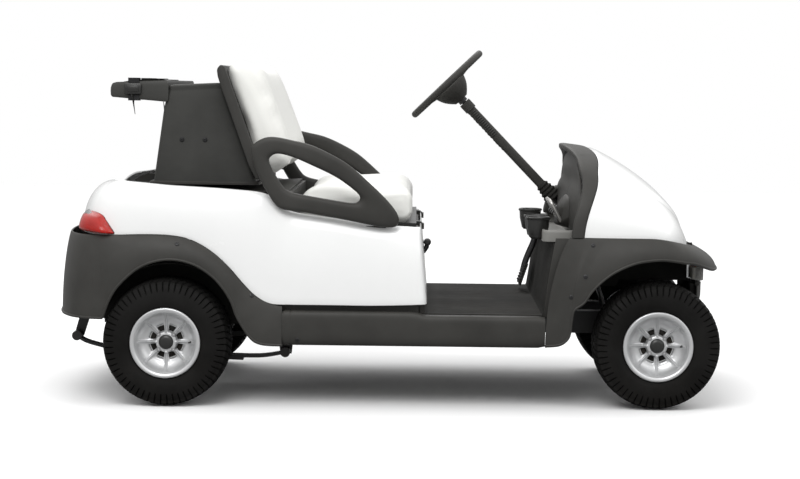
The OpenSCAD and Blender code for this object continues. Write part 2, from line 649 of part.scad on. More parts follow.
boss_r = 21;
low_boss = [118, 142];       // bottom and top of the lower boss
high_boss = [292, 316];
// Knuckle: upright between the bosses, kingpin, stub and steering arm
module knuckle(side) {
    translate([fa, side * kingpin_y, 0]) union() {
        translate([0, 0, low_boss[1] + 1]) cylinder(r = 20, h = high_boss[0] - low_boss[1] - 2);
        translate([0, 0, low_boss[0] - 6]) cylinder(r = kingpin_r, h = high_boss[1] - low_boss[0] + 12);
        rod([0, 0, axle_z], [0, side * (front_tread / 2 - kingpin_y + hub_out), axle_z], stub_r);
        rod([0, 0, axle_z], [0, side * 34, axle_z], 26);
        difference() {
            box([-arm_l, -11, arm_z - 12], [0, 11, arm_z]);
            translate([-arm_l, 0, 0]) cylinder(r = 6, h = 400);
        }
        difference() {
            translate([-arm_l, 0, arm_z - 12]) cylinder(r = eye_r, h = 12);
            translate([-arm_l, 0, 0]) cylinder(r = 6, h = 400);
        }
    }
}
module knuckle_left() {
    color("silver") knuckle(1);
}
module knuckle_right() {
    color("silver") knuckle(-1);
}
rail_y = 165;                // middle of a frame rail
rail_w = 60;
rail_z = 222;                // bottom of the rails
rail_h = floor_z - floor_t - rail_z;     // up to the floor pan
rail_front = 128;
rail_up = 318;               // bottom of the rails over the rear axle
arm_in = rail_y - 20;
// Crossmember and wishbones that end in the kingpin bosses
module front_suspension() {
    color("dimgray") difference() {
        union() {
            box([fa - 62, -arm_in, low_boss[0]], [fa + 62, arm_in, low_boss[1] + 6]);
            both() box([fa - 40, arm_in - 40, low_boss[0]], [fa + 40, arm_in + 14, rail_z - 0.01]);
            both() translate([0, 0, low_boss[0]]) linear_extrude(low_boss[1] - low_boss[0]) polygon([
                [fa - 58, arm_in - 5], [fa + 58, arm_in - 5], [fa + 17, kingpin_y], [fa - 17, kingpin_y]]);
            both() translate([fa, kingpin_y, low_boss[0]]) cylinder(r = boss_r, h = low_boss[1] - low_boss[0]);
            both() translate([fa, kingpin_y, high_boss[0]]) cylinder(r = boss_r, h = high_boss[1] - high_boss[0]);
            both() box([fa - 20, rail_y + rail_w / 2 + 0.01, high_boss[0] - 10],
                [fa + 2, kingpin_y - boss_r - 7, high_boss[1] - 2]);
            both() box([fa - 20, kingpin_y - boss_r - 8, high_boss[0]],
                [fa + 2, kingpin_y - kingpin_r - 1, high_boss[1] - 2]);
        }
        both() translate([fa, kingpin_y, 0]) cylinder(r = kingpin_r + fit, h = 600);
    }
}
// Shock absorbers: a pair in front and a pair behind the rear axle
shock_y = [224, 270];        // front and rear
shock_top = [402, rail_up + rail_h];
lug_z = 203;                 // top of the lugs on the rear axle
module shock(p, q, r) {
    rod(p, q, r * 0.45);
    rod(mix(p, q, 0.04), mix(p, q, 0.45), r);
    rod(mix(p, q, 0.4), mix(p, q, 0.92), r * 1.15);
}
module shock_absorbers() {
    color("silver") both() {
        shock([fa + 28, shock_y[0], low_boss[1] + 0.3], [fa + 28, shock_y[0], shock_top[0] - 0.3], 20);
        shock([ra - 62, shock_y[1], lug_z + 2.7], [ra - 112, shock_y[1], shock_top[1] - 2.7], 20);
    }
}

// ---- wheels ---------------------------------------------------------------------

hub_out = 66;                // how far a stub goes past the middle of the tyre
module at_wheel(x, y) {
    translate([x, y, axle_z]) rotate([y > 0 ? -90 : 90, 0, 0]) children();
}
bead = tyre_w / 2 - 14;      // half width between the rim's flanges
// Tyre section, +Z outward
module tyre() {
    w = tyre_w / 2;
    difference() {
        rotate_extrude($fn = 96) polygon(concat(
            [[rim_r - 14, -bead + 6], [rim_r - 14, -bead], [rim_r, -bead - 1]],
            curve([[rim_r + 14, -w + 8], [rim_r + 40, -w + 1], [tyre_r - 32, -w + 4], [tyre_r - 12, -w + 16],
                [tyre_r - 1, -w + 42], [tyre_r, 0], [tyre_r - 1, w - 42], [tyre_r - 12, w - 16],
                [tyre_r - 32, w - 4], [rim_r + 40, w - 1], [rim_r + 14, w - 8]], 2),
            [[rim_r, bead + 1], [rim_r - 14, bead], [rim_r - 14, bead - 6]]));
    }
}
// Rim: barrel, flanges, dished disc with eight holes, and hub
disc_z = 44;                 // middle of the disc
module rim() {
    b = rim_r - 14 - fit;
    difference() {
        union() {
            rotate_extrude($fn = 96) polygon([[b - 5, -bead - 6], [b + 10, -bead - 8], [b + 10, -bead - 1.2],
                [b, -bead - 0.2], [b, bead + 0.2], [b + 10, bead + 1.2], [b + 10, bead + 8],
                [b - 5, bead + 6]]);
            rotate_extrude($fn = 96) polygon([[0, disc_z - 18], [34, disc_z - 18], [38, disc_z - 6],
                [72, disc_z - 4], [b - 4.9, disc_z + 16], [b - 4.9, disc_z + 24], [72, disc_z + 4],
                [46, disc_z + 6], [40, disc_z + 22], [34, disc_z + 26], [0, disc_z + 26]]);
        }
        translate([0, 0, -200]) cylinder(r = stub_r + fit, h = 400);
        for (a = [0:45:315]) rotate(a + 22.5) translate([76, 0, 0]) cylinder(r = 11, h = 200);
    }
}
module front_left_tyre() {
    color("black") at_wheel(fa, front_tread / 2) tyre();
}
module front_right_tyre() {
    color("black") at_wheel(fa, -front_tread / 2) tyre();
}
module rear_left_tyre() {
    color("black") at_wheel(ra, rear_tread / 2) tyre();
}
module rear_right_tyre() {
    color("black") at_wheel(ra, -rear_tread / 2) tyre();
}
module front_left_rim() {
    color("silver") at_wheel(fa, front_tread / 2) rim();
}
module front_right_rim() {
    color("silver") at_wheel(fa, -front_tread / 2) rim();
}
module rear_left_rim() {
    color("silver") at_wheel(ra, rear_tread / 2) rim();
}
module rear_right_rim() {
    color("silver") at_wheel(ra, -rear_tread / 2) rim();
}

// ---- drive and frame -------------------------------------------------------------

tube_r = 32;
module rear_axle() {
    tube_end = rear_tread / 2 - 50;
    color("dimgray") union() {
        rod([ra, -tube_end, axle_z], [ra, tube_end, axle_z], tube_r);
        rod([ra, -rear_tread / 2 - hub_out, axle_z], [ra, rear_tread / 2 + hub_out, axle_z], stub_r);
        both() rod([ra, tube_end - 4, axle_z], [ra, tube_end + 24, axle_z], 82);
        rod([ra, -20, axle_z], [ra, 110, axle_z], 96);
        rod([ra + 110, -10, axle_z + 14], [ra + 110, 96, axle_z + 14], 70);
        both() box([ra - 82, shock_y[1] - 16, lug_z - 16], [ra - 12, shock_y[1] + 16, lug_z]);
    }
}
// Leaf springs under the axle, with shackles at the rear
leaf_y = 330;
leaf_w = 50;
module leaf_springs() {
    arc = curve([[-335, 214], [-290, 190], [-150, 160], [0, 151], [150, 152], [300, 150], [390, 164]], 5);
    color("dimgray") both() union() {
        across(leaf_y - leaf_w / 2, leaf_y + leaf_w / 2) translate([ra, 0]) {
            polygon(concat(arc, [for (i = [len(arc) - 1:-1:0]) arc[i] + [0, -9]]));
            polygon(concat([for (i = [9:len(arc) - 8]) arc[i] + [0, -8]],
                [for (i = [len(arc) - 8:-1:9]) arc[i] + [0, -18]]));
        }
        for (p = [[-335, 210], [390, 160]])
            rod([ra + p.x, leaf_y - leaf_w / 2, p.y], [ra + p.x, leaf_y + leaf_w / 2, p.y], 17);
        box([ra - 45, leaf_y - leaf_w / 2, 150], [ra + 45, leaf_y + leaf_w / 2, axle_z - tube_r - 0.01]);
        // hangers up to the frame
        across(leaf_y - leaf_w / 2 - 8.3, leaf_y - leaf_w / 2 - 0.3) translate([ra, 0]) {
            polygon([[-352, 205], [-318, 205], [-272, 350], [-312, 350]]);
            polygon([[370, 150], [410, 150], [420, rail_z + 30], [360, rail_z + 30]]);
        }
        rod([ra + 390, rail_y + rail_w / 2, rail_z + 18], [ra + 390, leaf_y - leaf_w / 2 - 1, rail_z + 18], 14);
        rod([ra - 290, rail_y + rail_w / 2, rail_up + 16], [ra - 290, leaf_y - leaf_w / 2 - 1, rail_up + 16], 14);
    }
}
module frame_rails() {
    color("silver") union() {
        both() across(rail_y - rail_w / 2, rail_y + rail_w / 2) polygon([
            [fa + rail_front, rail_z], [fa + rail_front, rail_z + rail_h], [ra + 400, rail_z + rail_h],
            [ra + 250, rail_up + rail_h], [ra - 330, rail_up + rail_h], [ra - 330, rail_up],
            [ra + 235, rail_up], [ra + 385, rail_z]]);
        for (x = [ra + 480, ra + 860, fa - 420, fa + 90])
            box([x, -rail_y + rail_w / 2 - 1, rail_z + 8], [x + 40, rail_y - rail_w / 2 + 1, rail_z + rail_h - 8]);
        box([ra - 330, -rail_y + 20, rail_up + 8], [ra - 290, rail_y - 20, rail_up + rail_h - 8]);
        // brackets that the shock absorbers' tops meet
        both() box([fa + 8, rail_y - 20, rail_z + rail_h - 1], [fa + 48, rail_y + 20, shock_top[0] + 10]);
        both() box([fa + 8, rail_y - 20, shock_top[0]], [fa + 48, shock_y[0] + 22, shock_top[0] + 10]);
        both() box([ra - 140, rail_y - 20, shock_top[1] - 1], [ra - 84, rail_y + 20, shock_top[1] + 8]);
        both() box([ra - 140, rail_y - 20, shock_top[1]], [ra - 84, shock_y[1] + 18, shock_top[1] + 8]);
    }
}
on_rails = rail_z + rail_h + 0.3;
module engine_block() {
    color("gray") box([ra + 420, -150, on_rails], [ra + 730, 138, 560]);
}
module fuel_tank() {
    color("gray") box([ra + 500, -420, on_rails], [ra + 780, -160, on_rails + 210]);
}
module battery() {
    color("dimgray") box([ra + 560, 142, on_rails], [ra + 740, 380, on_rails + 210]);
}

// ---- controls ---------------------------------------------------------------------

pedal_y = [250, 345];
module pedals() {
    color("dimgray") union() {
        for (y = pedal_y) {
            across(y - 9, y + 9) polygon([[fa - 454, 396], [fa - 440, 400], [fa - 398, 500],
                [toe_at(530) - 0.4, 530], [toe_at(548) - 0.4, 548], [fa - 412, 508]]);
            across(y - 36, y + 36) translate([fa, 0]) polygon([[-466, 352], [-454, 348], [-428, 426], [-440, 432]]);
        }
        box([toe_x - 60, 200, floor_z + 0.3], [toe_x - 4, 395, floor_z + 6]);
    }
}
module direction_selector() {
    color("dimgray") union() {
        across(-30, 30) polygon([[kick_at(455) + 0.3, 455], [kick_at(535) + 0.3, 535],
            [kick_at(525) + 12, 528], [kick_at(465) + 12, 462]]);
        across(-9, 9) polygon([[kick_at(480) + 8, 478], [kick_at(500) + 8, 500],
            [kick_high + 32, 532], [kick_high + 40, 518]]);
        rod([kick_high + 34, -12, 524], [kick_high + 34, 12, 524], 13);
    }
}

frame_rails();
floor_pan();
front_cowl();
dash_trim();
front_fenders();
front_bumper();
dash();
headlights();
rocker_panels();
rear_body();
rear_fenders();
seat_base();
seat_pan();
seat_cushion();
backrest_shell();
backrest_cushion();
armrests();
basket();
bag_holder();
bag_well();
taillights();
steering_column();
steering_wheel();
lower_shaft();
steering_rack();
tie_rods();
pedals();
direction_selector();
front_suspension();
shock_absorbers();
knuckle_left();
knuckle_right();
front_left_tyre();
front_left_rim();
front_right_tyre();
front_right_rim();
rear_left_tyre();
rear_left_rim();
rear_right_tyre();
rear_right_rim();
rear_axle();
leaf_springs();
engine_block();
fuel_tank();
battery();
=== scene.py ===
"""Golf cart: the looks of every piece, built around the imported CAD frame.

Shape functions work in millimetres in the row frame (+X forward, +Y left, +Z up, ground at 0)
and a mesh is scaled to metres when it is made.
"""
import math

import bmesh
import bpy
import numpy as np
from mathutils import Matrix, Vector


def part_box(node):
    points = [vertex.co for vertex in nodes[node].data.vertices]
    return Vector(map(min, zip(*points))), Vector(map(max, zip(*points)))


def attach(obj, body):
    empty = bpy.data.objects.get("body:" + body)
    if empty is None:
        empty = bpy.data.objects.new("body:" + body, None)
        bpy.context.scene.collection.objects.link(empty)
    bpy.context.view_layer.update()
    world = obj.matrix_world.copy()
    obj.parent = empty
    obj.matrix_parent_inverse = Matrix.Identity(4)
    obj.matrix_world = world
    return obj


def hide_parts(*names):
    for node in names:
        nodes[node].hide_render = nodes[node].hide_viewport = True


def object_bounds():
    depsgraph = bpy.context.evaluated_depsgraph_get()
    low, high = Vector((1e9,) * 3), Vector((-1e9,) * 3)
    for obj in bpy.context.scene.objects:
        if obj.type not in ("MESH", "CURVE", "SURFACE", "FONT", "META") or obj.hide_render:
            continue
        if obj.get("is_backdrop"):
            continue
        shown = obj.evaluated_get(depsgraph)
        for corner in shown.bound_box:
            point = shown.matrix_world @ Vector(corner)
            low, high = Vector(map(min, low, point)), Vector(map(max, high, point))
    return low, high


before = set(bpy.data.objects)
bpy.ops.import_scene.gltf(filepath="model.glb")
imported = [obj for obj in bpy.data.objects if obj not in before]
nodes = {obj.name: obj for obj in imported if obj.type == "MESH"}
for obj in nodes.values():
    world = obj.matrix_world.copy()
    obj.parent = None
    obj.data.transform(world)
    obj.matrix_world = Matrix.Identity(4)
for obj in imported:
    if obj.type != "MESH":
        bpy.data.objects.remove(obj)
cad_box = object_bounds()
MM = 0.001


def node_box(name):
    """Lowest and highest corner of a CAD node in millimetres."""
    low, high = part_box(name)
    return np.array(low) / MM, np.array(high) / MM


def node_middle(name):
    """Middle of a CAD node in millimetres."""
    low, high = node_box(name)
    return (low + high) / 2


FA, AXLE_Z = node_middle("front_left_tyre")[[0, 2]]
RA = node_middle("rear_left_tyre")[0]
FRONT_Y = node_middle("front_left_tyre")[1]
REAR_Y = node_middle("rear_left_tyre")[1]
TYRE_R = (node_box("front_left_tyre")[1] - node_box("front_left_tyre")[0])[0] / 2
HALF_L = node_box("front_fenders")[1][0]
REAR_W = node_box("rear_fenders")[1][1]


# ---- numbers and curves ------------------------------------------------------------

def mix(a, b, t):
    """The value at share t of the way from a to b."""
    return a + (b - a) * t


def smooth(x, a, b):
    """0 below a, 1 above b, and a cubic step between."""
    t = np.clip((np.asarray(x, float) - a) / (b - a), 0, 1)
    return t * t * (3 - 2 * t)


def bump_at(x, centre, width):
    """Bell of height 1 at centre, with the given half width."""
    return np.exp(-((np.asarray(x, float) - centre) / width) ** 2)


def spline(points, n, closed=False):
    """Catmull-Rom curve through the points, n steps to a span."""
    p = np.asarray(points, float)
    m = len(p)
    spans = m if closed else m - 1
    i = np.repeat(np.arange(spans), n)
    t = np.tile(np.arange(n) / n, spans)[:, None]
    pick = (lambda k: p[k % m]) if closed else (lambda k: p[np.clip(k, 0, m - 1)])
    a, b, c, d = pick(i - 1), pick(i), pick(i + 1), pick(i + 2)
    out = b + (c - a) * t / 2 + (2 * a - 5 * b + 4 * c - d) * t * t / 2 \
        + (3 * b - a - 3 * c + d) * t ** 3 / 2
    return out if closed else np.vstack([out, p[-1:]])


def spaced(points, n, closed=False):
    """n points at equal steps of length along a polyline."""
    p = np.asarray(points, float)
    if closed:
        p = np.vstack([p, p[:1]])
    s = np.r_[0, np.cumsum(np.linalg.norm(np.diff(p, axis=0), axis=1))]
    at = np.linspace(0, s[-1], n, endpoint=not closed)
    return np.stack([np.interp(at, s, p[:, k]) for k in range(p.shape[1])], 1)


def unit(v):
    """Vectors brought to length 1."""
    return v / np.maximum(np.linalg.norm(v, axis=-1, keepdims=True), 1e-9)


def grid_normals(g):
    """Cross product of the two directions of the grid at each point."""
    return unit(np.cross(np.gradient(g, axis=0), np.gradient(g, axis=1)))


def two_sides(half):
    """Grid rows from one side round the end to the other: the half and its mirror image."""
    other = half[::-1] * np.array([1, -1, 1])
    return np.concatenate([half, other[1:]], 0)


# ---- meshes --------------------------------------------------------------------------

def grid_quads(nu, nv, close_u=False, close_v=False, start=0):
    """Quads of a grid of nu rows and nv columns whose first point has the index start."""
    iu = np.arange(nu if close_u else nu - 1)
    iv = np.arange(nv if close_v else nv - 1)
    a, b = np.meshgrid(iu, iv, indexing="ij")
    a1, b1 = (a + 1) % nu, (b + 1) % nv
    return start + np.stack([a * nv + b, a1 * nv + b, a1 * nv + b1, a * nv + b1], -1).reshape(-1, 4)


def piece(name, verts, faces, body, slot, replaces=(), sharp=32, merge=0.02, closed=True):
    """A mesh piece from points in millimetres; faces point out and edges sharper than sharp show."""
    mesh = bpy.data.meshes.new(name)
    mesh.from_pydata((np.asarray(verts, float) * MM).tolist(), [],
                     [list(map(int, f)) for f in faces])
    bm = bmesh.new()
    bm.from_mesh(mesh)
    if merge:
        bmesh.ops.remove_doubles(bm, verts=bm.verts, dist=merge * MM)
    if closed:
        bmesh.ops.recalc_face_normals(bm, faces=bm.faces)
    bm.to_mesh(mesh)
    bm.free()
    mesh.shade_smooth()
    mesh.set_sharp_from_angle(angle=math.radians(sharp))
    obj = bpy.data.objects.new(name, mesh)
    bpy.context.scene.collection.objects.link(obj)
    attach(obj, body)
    if replaces:
        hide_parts(*replaces)
    return obj


def rounded_shell(outer, t, arc=4, out_sign=None):
    """Points and faces of a skin t thick whose long edges end in half circles.

    Each row of the grid becomes a closed loop: the outer points, an arc round the edge, the
    points moved in by t along the normal, and an arc back. The two end rows are closed flat.
    """
    n = grid_normals(outer)
    if out_sign is None:
        mid = outer.reshape(-1, 3).mean(0)
        out_sign = 1 if ((n * (outer - mid)).sum(-1)).mean() > 0 else -1
    n = n * out_sign
    inner = outer - n * t
    ang = np.linspace(0, np.pi, arc + 2)[1:-1, None, None]

    def edge(j, j_in):
        c = (outer[:, j] + inner[:, j]) / 2
        go = unit(outer[:, j] - outer[:, j_in])
        return c + t / 2 * (np.cos(ang) * n[:, j] + np.sin(ang) * go)

    far = np.moveaxis(edge(-1, -2), 0, 1)
    near = np.moveaxis(edge(0, 1), 0, 1)[:, ::-1]
    loop = np.concatenate([outer, far, inner[:, ::-1], near], 1)
    nu, nv = loop.shape[:2]
    faces = list(grid_quads(nu, nv, close_v=True))
    k = outer.shape[1]
    for row in (0, nu - 1):
        base = row * nv
        mirror = base + 2 * k + arc - 1
        j = np.arange(k - 1)
        faces += list(np.stack([base + j, base + j + 1, mirror - j - 1, mirror - j], -1))
        faces.append([base + k - 1 + i for i in range(arc + 2)])
        faces.append([base + (nv - arc - 1 + i) % nv for i in range(arc + 2)])
    return loop.reshape(-1, 3), faces


def mirrored_pair(verts, faces):
    """The points and faces with their mirror image across the middle plane."""
    v = np.asarray(verts, float)
    w = v * np.array([1, -1, 1])
    return np.vstack([v, w]), list(faces) + [[i + len(v) for i in f][::-1] for f in faces]


def joined(*parts):
    """Several (points, faces) as one."""
    verts, faces, at = [], [], 0
    for v, f in parts:
        verts.append(np.asarray(v, float))
        faces += [[int(i) + at for i in q] for q in f]
        at += len(v)
    return np.vstack(verts), faces


def tube(path, radius, around=10, closed=False, flat=1.0, up=(0, 0, 1), ends=True):
    """Points and faces of a tube of the radius along a path, with its ends rounded in.

    Each ring is a circle in the plane across the path, scaled by flat along its second axis.
    """
    p = np.asarray(path, float)
    r = np.broadcast_to(np.asarray(radius, float), len(p)).copy()
    if closed:
        t = unit(np.roll(p, -1, 0) - np.roll(p, 1, 0))
    else:
        t = unit(np.gradient(p, axis=0))
        if ends:
            head, tail = p[0] - t[0] * r[0] * 0.4, p[-1] + t[-1] * r[-1] * 0.4
            p = np.vstack([head, p, tail])
            t = np.vstack([t[:1], t, t[-1:]])
            r = np.r_[r[0] * 0.6, r, r[-1] * 0.6]
    ref = np.broadcast_to(np.asarray(up, float), p.shape)
    side = unit(np.cross(t, ref) + 1e-6)
    over = np.cross(side, t)
    a = np.arange(around) * 2 * np.pi / around
    ring = (np.cos(a)[None, :, None] * side[:, None] + flat * np.sin(a)[None, :, None] * over[:, None])
    v = (p[:, None] + r[:, None, None] * ring).reshape(-1, 3)
    f = list(grid_quads(len(p), around, close_u=closed, close_v=True))
    if not closed:
        last = (len(p) - 1) * around
        f += [list(range(around))[::-1], [last + i for i in range(around)]]
    return v, f


def lathe(profile, steps):
    """Points and faces of an open profile of (radius, height) from axis to axis turned about +Z."""
    p = np.asarray(profile, float)
    p[0, 0] = p[-1, 0] = 0.001
    a = np.arange(steps) * 2 * np.pi / steps
    v = np.stack([np.outer(np.cos(a), p[:, 0]), np.outer(np.sin(a), p[:, 0]),
                  np.broadcast_to(p[:, 1], (steps, len(p)))], -1).reshape(-1, 3)
    f = list(grid_quads(steps, len(p), close_u=True))
    return v, f


def placed(part, at=(0, 0, 0), z_to=(0, 0, 1), x_to=(1, 0, 0)):
    """A (points, faces) with its +Z along z_to, its +X towards x_to and its origin at at."""
    v, f = part
    z = unit(np.array(z_to, float))
    x = np.array(x_to, float)
    x = unit(x - z * (x @ z)) if abs(unit(x) @ z) < 0.999 else unit(np.cross(z, [0.3, 0.5, 0.8]))
    m = np.stack([x, np.cross(z, x), z])
    return np.asarray(v, float) @ m + np.array(at, float), f


def slab(outline, depth, edge, arc=4):
    """Points and faces of a closed 2-D outline carried +-depth/2 along +Z with rounded rims.

    Ring after ring: the outline is pulled in by edge times (1 - cos) while the height goes out
    by edge times sin. The flat faces are closed by one polygon each.
    """
    p = np.asarray(outline, float)
    t = unit(np.roll(p, -1, 0) - np.roll(p, 1, 0))
    n = np.stack([t[:, 1], -t[:, 0]], 1)
    area = np.sum(p[:, 0] * np.roll(p[:, 1], -1) - np.roll(p[:, 0], -1) * p[:, 1])
    n = n * np.sign(area)
    rings = []
    for phi in np.linspace(-np.pi / 2, np.pi / 2, 2 * arc + 1):
        z = np.sin(phi) * edge + np.sign(phi) * (depth / 2 - edge) if phi else 0
        rings.append(np.c_[p - n * edge * (1 - np.cos(phi)), np.full(len(p), z)])
    v = np.stack(rings)
    nu, nv = v.shape[:2]
    f = list(grid_quads(nu, nv, close_v=True))
    f += [list(range(nv))[::-1], [(nu - 1) * nv + i for i in range(nv)]]
    return v.reshape(-1, 3), f


def round_box(low, high, r, arc=3):
    """Points and faces of a box between two corners with its edges rounded by r."""
    low, high = np.array(low, float), np.array(high, float)
    c, h = (low + high) / 2, (high - low) / 2
    r = min(r, h.min() * 0.98)
    a = np.linspace(-np.pi / 2, np.pi / 2, 2 * arc + 2)
    b = np.linspace(0, 2 * np.pi, 4 * (arc + 1), endpoint=False) + np.pi / 4 / (arc + 1)
    ca, cb = np.meshgrid(a, b, indexing="ij")
    d = np.stack([np.cos(ca) * np.cos(cb), np.cos(ca) * np.sin(cb), np.sin(ca)], -1)
    s = np.sign(np.round(d, 6))
    s[..., 2] = np.sign(ca)
    v = c + s * (h - r) + d * r
    nu, nv = v.shape[:2]
    f = list(grid_quads(nu, nv, close_v=True))
    f += [list(range(nv))[::-1], [(nu - 1) * nv + i for i in range(nv)]]
    return v.reshape(-1, 3), f


def side_plate(outline, y0, y1, edge=2.0, arc=3):
    """A side-view outline of (x, z) points carried from y0 to y1 with rounded rims."""
    v, f = slab(outline, abs(y1 - y0), edge, arc=arc)
    return np.stack([v[:, 0], (y0 + y1) / 2 + v[:, 2], v[:, 1]], 1), f


def screw_head(at, out, r=7.0, h=3.0):
    """Domed screw head with a hexagonal socket, r in radius and h high, at a point, facing out."""
    socket = r * 0.42
    prof = [[0, 0.6], [socket, 0.6], [socket, h], [r * 0.75, h * 0.92], [r, h * 0.45], [r * 1.02, -1],
            [0, -1]]
    return placed(lathe(prof, 18), at, out)


# ---- shader groups ----------------------------------------------------------------------

def group(name, inputs, outputs):
    """An empty shader group with float inputs {name: default} and outputs {name: socket type}."""
    g = bpy.data.node_groups.new(name, "ShaderNodeTree")
    for n, d in inputs.items():
        kind = "NodeSocketColor" if isinstance(d, tuple) else "NodeSocketFloat"
        s = g.interface.new_socket(name=n, in_out="INPUT", socket_type=kind)
        s.default_value = d
    for n, kind in outputs.items():
        g.interface.new_socket(name=n, in_out="OUTPUT", socket_type=kind)
    return g, g.nodes.new("NodeGroupInput"), g.nodes.new("NodeGroupOutput")


class Net:
    """Short names for adding and joining nodes in one tree."""

    def __init__(self, tree):
        self.tree = tree

    def add(self, kind, **values):
        node = self.tree.nodes.new(kind)
        for k, v in values.items():
            if hasattr(node, k):
                setattr(node, k, v)
            else:
                self.put(node.inputs[k.replace("_", " ")], v)
        return node

    def put(self, socket, value):
        if isinstance(value, bpy.types.NodeSocket):
            self.tree.links.new(value, socket)
        else:
            socket.default_value = value

    def math(self, op, a, b=0.0, c=0.0, clamp=False):
        node = self.tree.nodes.new("ShaderNodeMath")
        node.operation, node.use_clamp = op, clamp
        for s, v in zip(node.inputs, (a, b, c)):
            self.put(s, v)
        return node.outputs[0]

    def ramp(self, value, low, high, out_low=0.0, out_high=1.0):
        """Smooth step of value from out_low at low to out_high at high."""
        node = self.tree.nodes.new("ShaderNodeMapRange")
        node.interpolation_type = "SMOOTHSTEP"
        for s, v in zip(node.inputs, (value, low, high, out_low, out_high)):
            self.put(s, v)
        return node.outputs[0]

    def blend(self, factor, a, b, kind="MIX"):
        """Colour a where factor is 0 and b where it is 1."""
        node = self.tree.nodes.new("ShaderNodeMix")
        node.data_type, node.blend_type = "RGBA", kind
        self.put(node.inputs[0], factor)
        self.put(node.inputs[6], a)
        self.put(node.inputs[7], b)
        return node.outputs[2]

    def noise(self, coords, scale, detail=3.0, rough=0.5, stretch=None):
        """Cloudy noise, its coordinates scaled by stretch first."""
        if stretch is not None:
            m = self.tree.nodes.new("ShaderNodeMapping")
            self.put(m.inputs[0], coords)
            m.inputs[3].default_value = stretch
            coords = m.outputs[0]
        node = self.tree.nodes.new("ShaderNodeTexNoise")
        self.put(node.inputs["Vector"], coords)
        self.put(node.inputs["Scale"], scale)
        self.put(node.inputs["Detail"], detail)
        self.put(node.inputs["Roughness"], rough)
        return node.outputs[0]


def object_coords(net):
    """Object coordinates, in metres."""
    return net.tree.nodes.new("ShaderNodeTexCoord").outputs["Object"]


def build_soiling():
    """Dust that lies on faces turned up and a splash of road dirt low on the cart."""
    g, gin, gout = group("soiling", {"Dust": 0.2, "Splash": 0.3, "Splash Height": 0.35},
                         {"Mask": "NodeSocketFloat"})
    net = Net(g)
    at = object_coords(net)
    facing = net.add("ShaderNodeNewGeometry").outputs["Normal"]
    up = net.add("ShaderNodeSeparateXYZ", Vector=facing).outputs[2]
    high = net.add("ShaderNodeSeparateXYZ", Vector=at).outputs[2]
    patch = net.ramp(net.noise(at, 7.0, 5.0, 0.6), 0.35, 0.75)
    fine = net.ramp(net.noise(at, 160.0, 3.0, 0.7), 0.4, 0.7)
    lying = net.math("MULTIPLY", net.ramp(up, 0.3, 0.95), net.math("MULTIPLY", patch, gin.outputs["Dust"]))
    low = net.ramp(high, gin.outputs["Splash Height"], 0.02)
    thrown = net.math("MULTIPLY", low, net.math("MULTIPLY", net.math("MULTIPLY_ADD", fine, 0.5, patch),
                                                gin.outputs["Splash"]))
    net.put(gout.inputs["Mask"], net.math("ADD", lying, thrown, clamp=True))
    return g


def build_grain():
    """Moulded plastic grain: small rounded cells over a slow unevenness of the surface."""
    g, gin, gout = group("moulded_grain", {"Scale": 900.0, "Depth": 0.5, "Waviness": 0.3},
                         {"Height": "NodeSocketFloat", "Shade": "NodeSocketFloat"})
    net = Net(g)
    at = object_coords(net)
    cells = net.add("ShaderNodeTexVoronoi", feature="SMOOTH_F1", Vector=at, Scale=gin.outputs["Scale"])
    fine = net.noise(at, net.math("MULTIPLY", gin.outputs["Scale"], 0.55), 2.0)
    slow = net.noise(at, 9.0, 2.0)
    height = net.math("MULTIPLY", net.math("ADD", cells.outputs[0], fine), gin.outputs["Depth"])
    net.put(gout.inputs["Height"], net.math("MULTIPLY_ADD", slow, gin.outputs["Waviness"], height))
    net.put(gout.inputs["Shade"], net.ramp(net.noise(at, 4.0, 4.0, 0.6), 0.3, 0.7))
    return g


def build_wear():
    """Thin scuffs and rubbed patches: stretched noise cut off high, and cloudy noise."""
    g, gin, gout = group("wear", {"Scuffs": 0.5, "Scale": 30.0},
                         {"Scratch": "NodeSocketFloat", "Rub": "NodeSocketFloat"})
    net = Net(g)
    at = object_coords(net)
    lines = net.noise(at, gin.outputs["Scale"], 8.0, 0.75, stretch=(1.0, 1.0, 14.0))
    cross = net.noise(at, gin.outputs["Scale"], 8.0, 0.75, stretch=(12.0, 1.5, 1.0))
    both = net.math("MAXIMUM", net.ramp(lines, 0.66, 0.72), net.ramp(cross, 0.67, 0.73))
    net.put(gout.inputs["Scratch"], net.math("MULTIPLY", both, gin.outputs["Scuffs"]))
    net.put(gout.inputs["Rub"], net.ramp(net.noise(at, 12.0, 6.0, 0.65), 0.52, 0.72))
    return g


SOILING, GRAIN, WEAR = build_soiling(), build_grain(), build_wear()
DIRT = (0.23, 0.19, 0.145, 1)


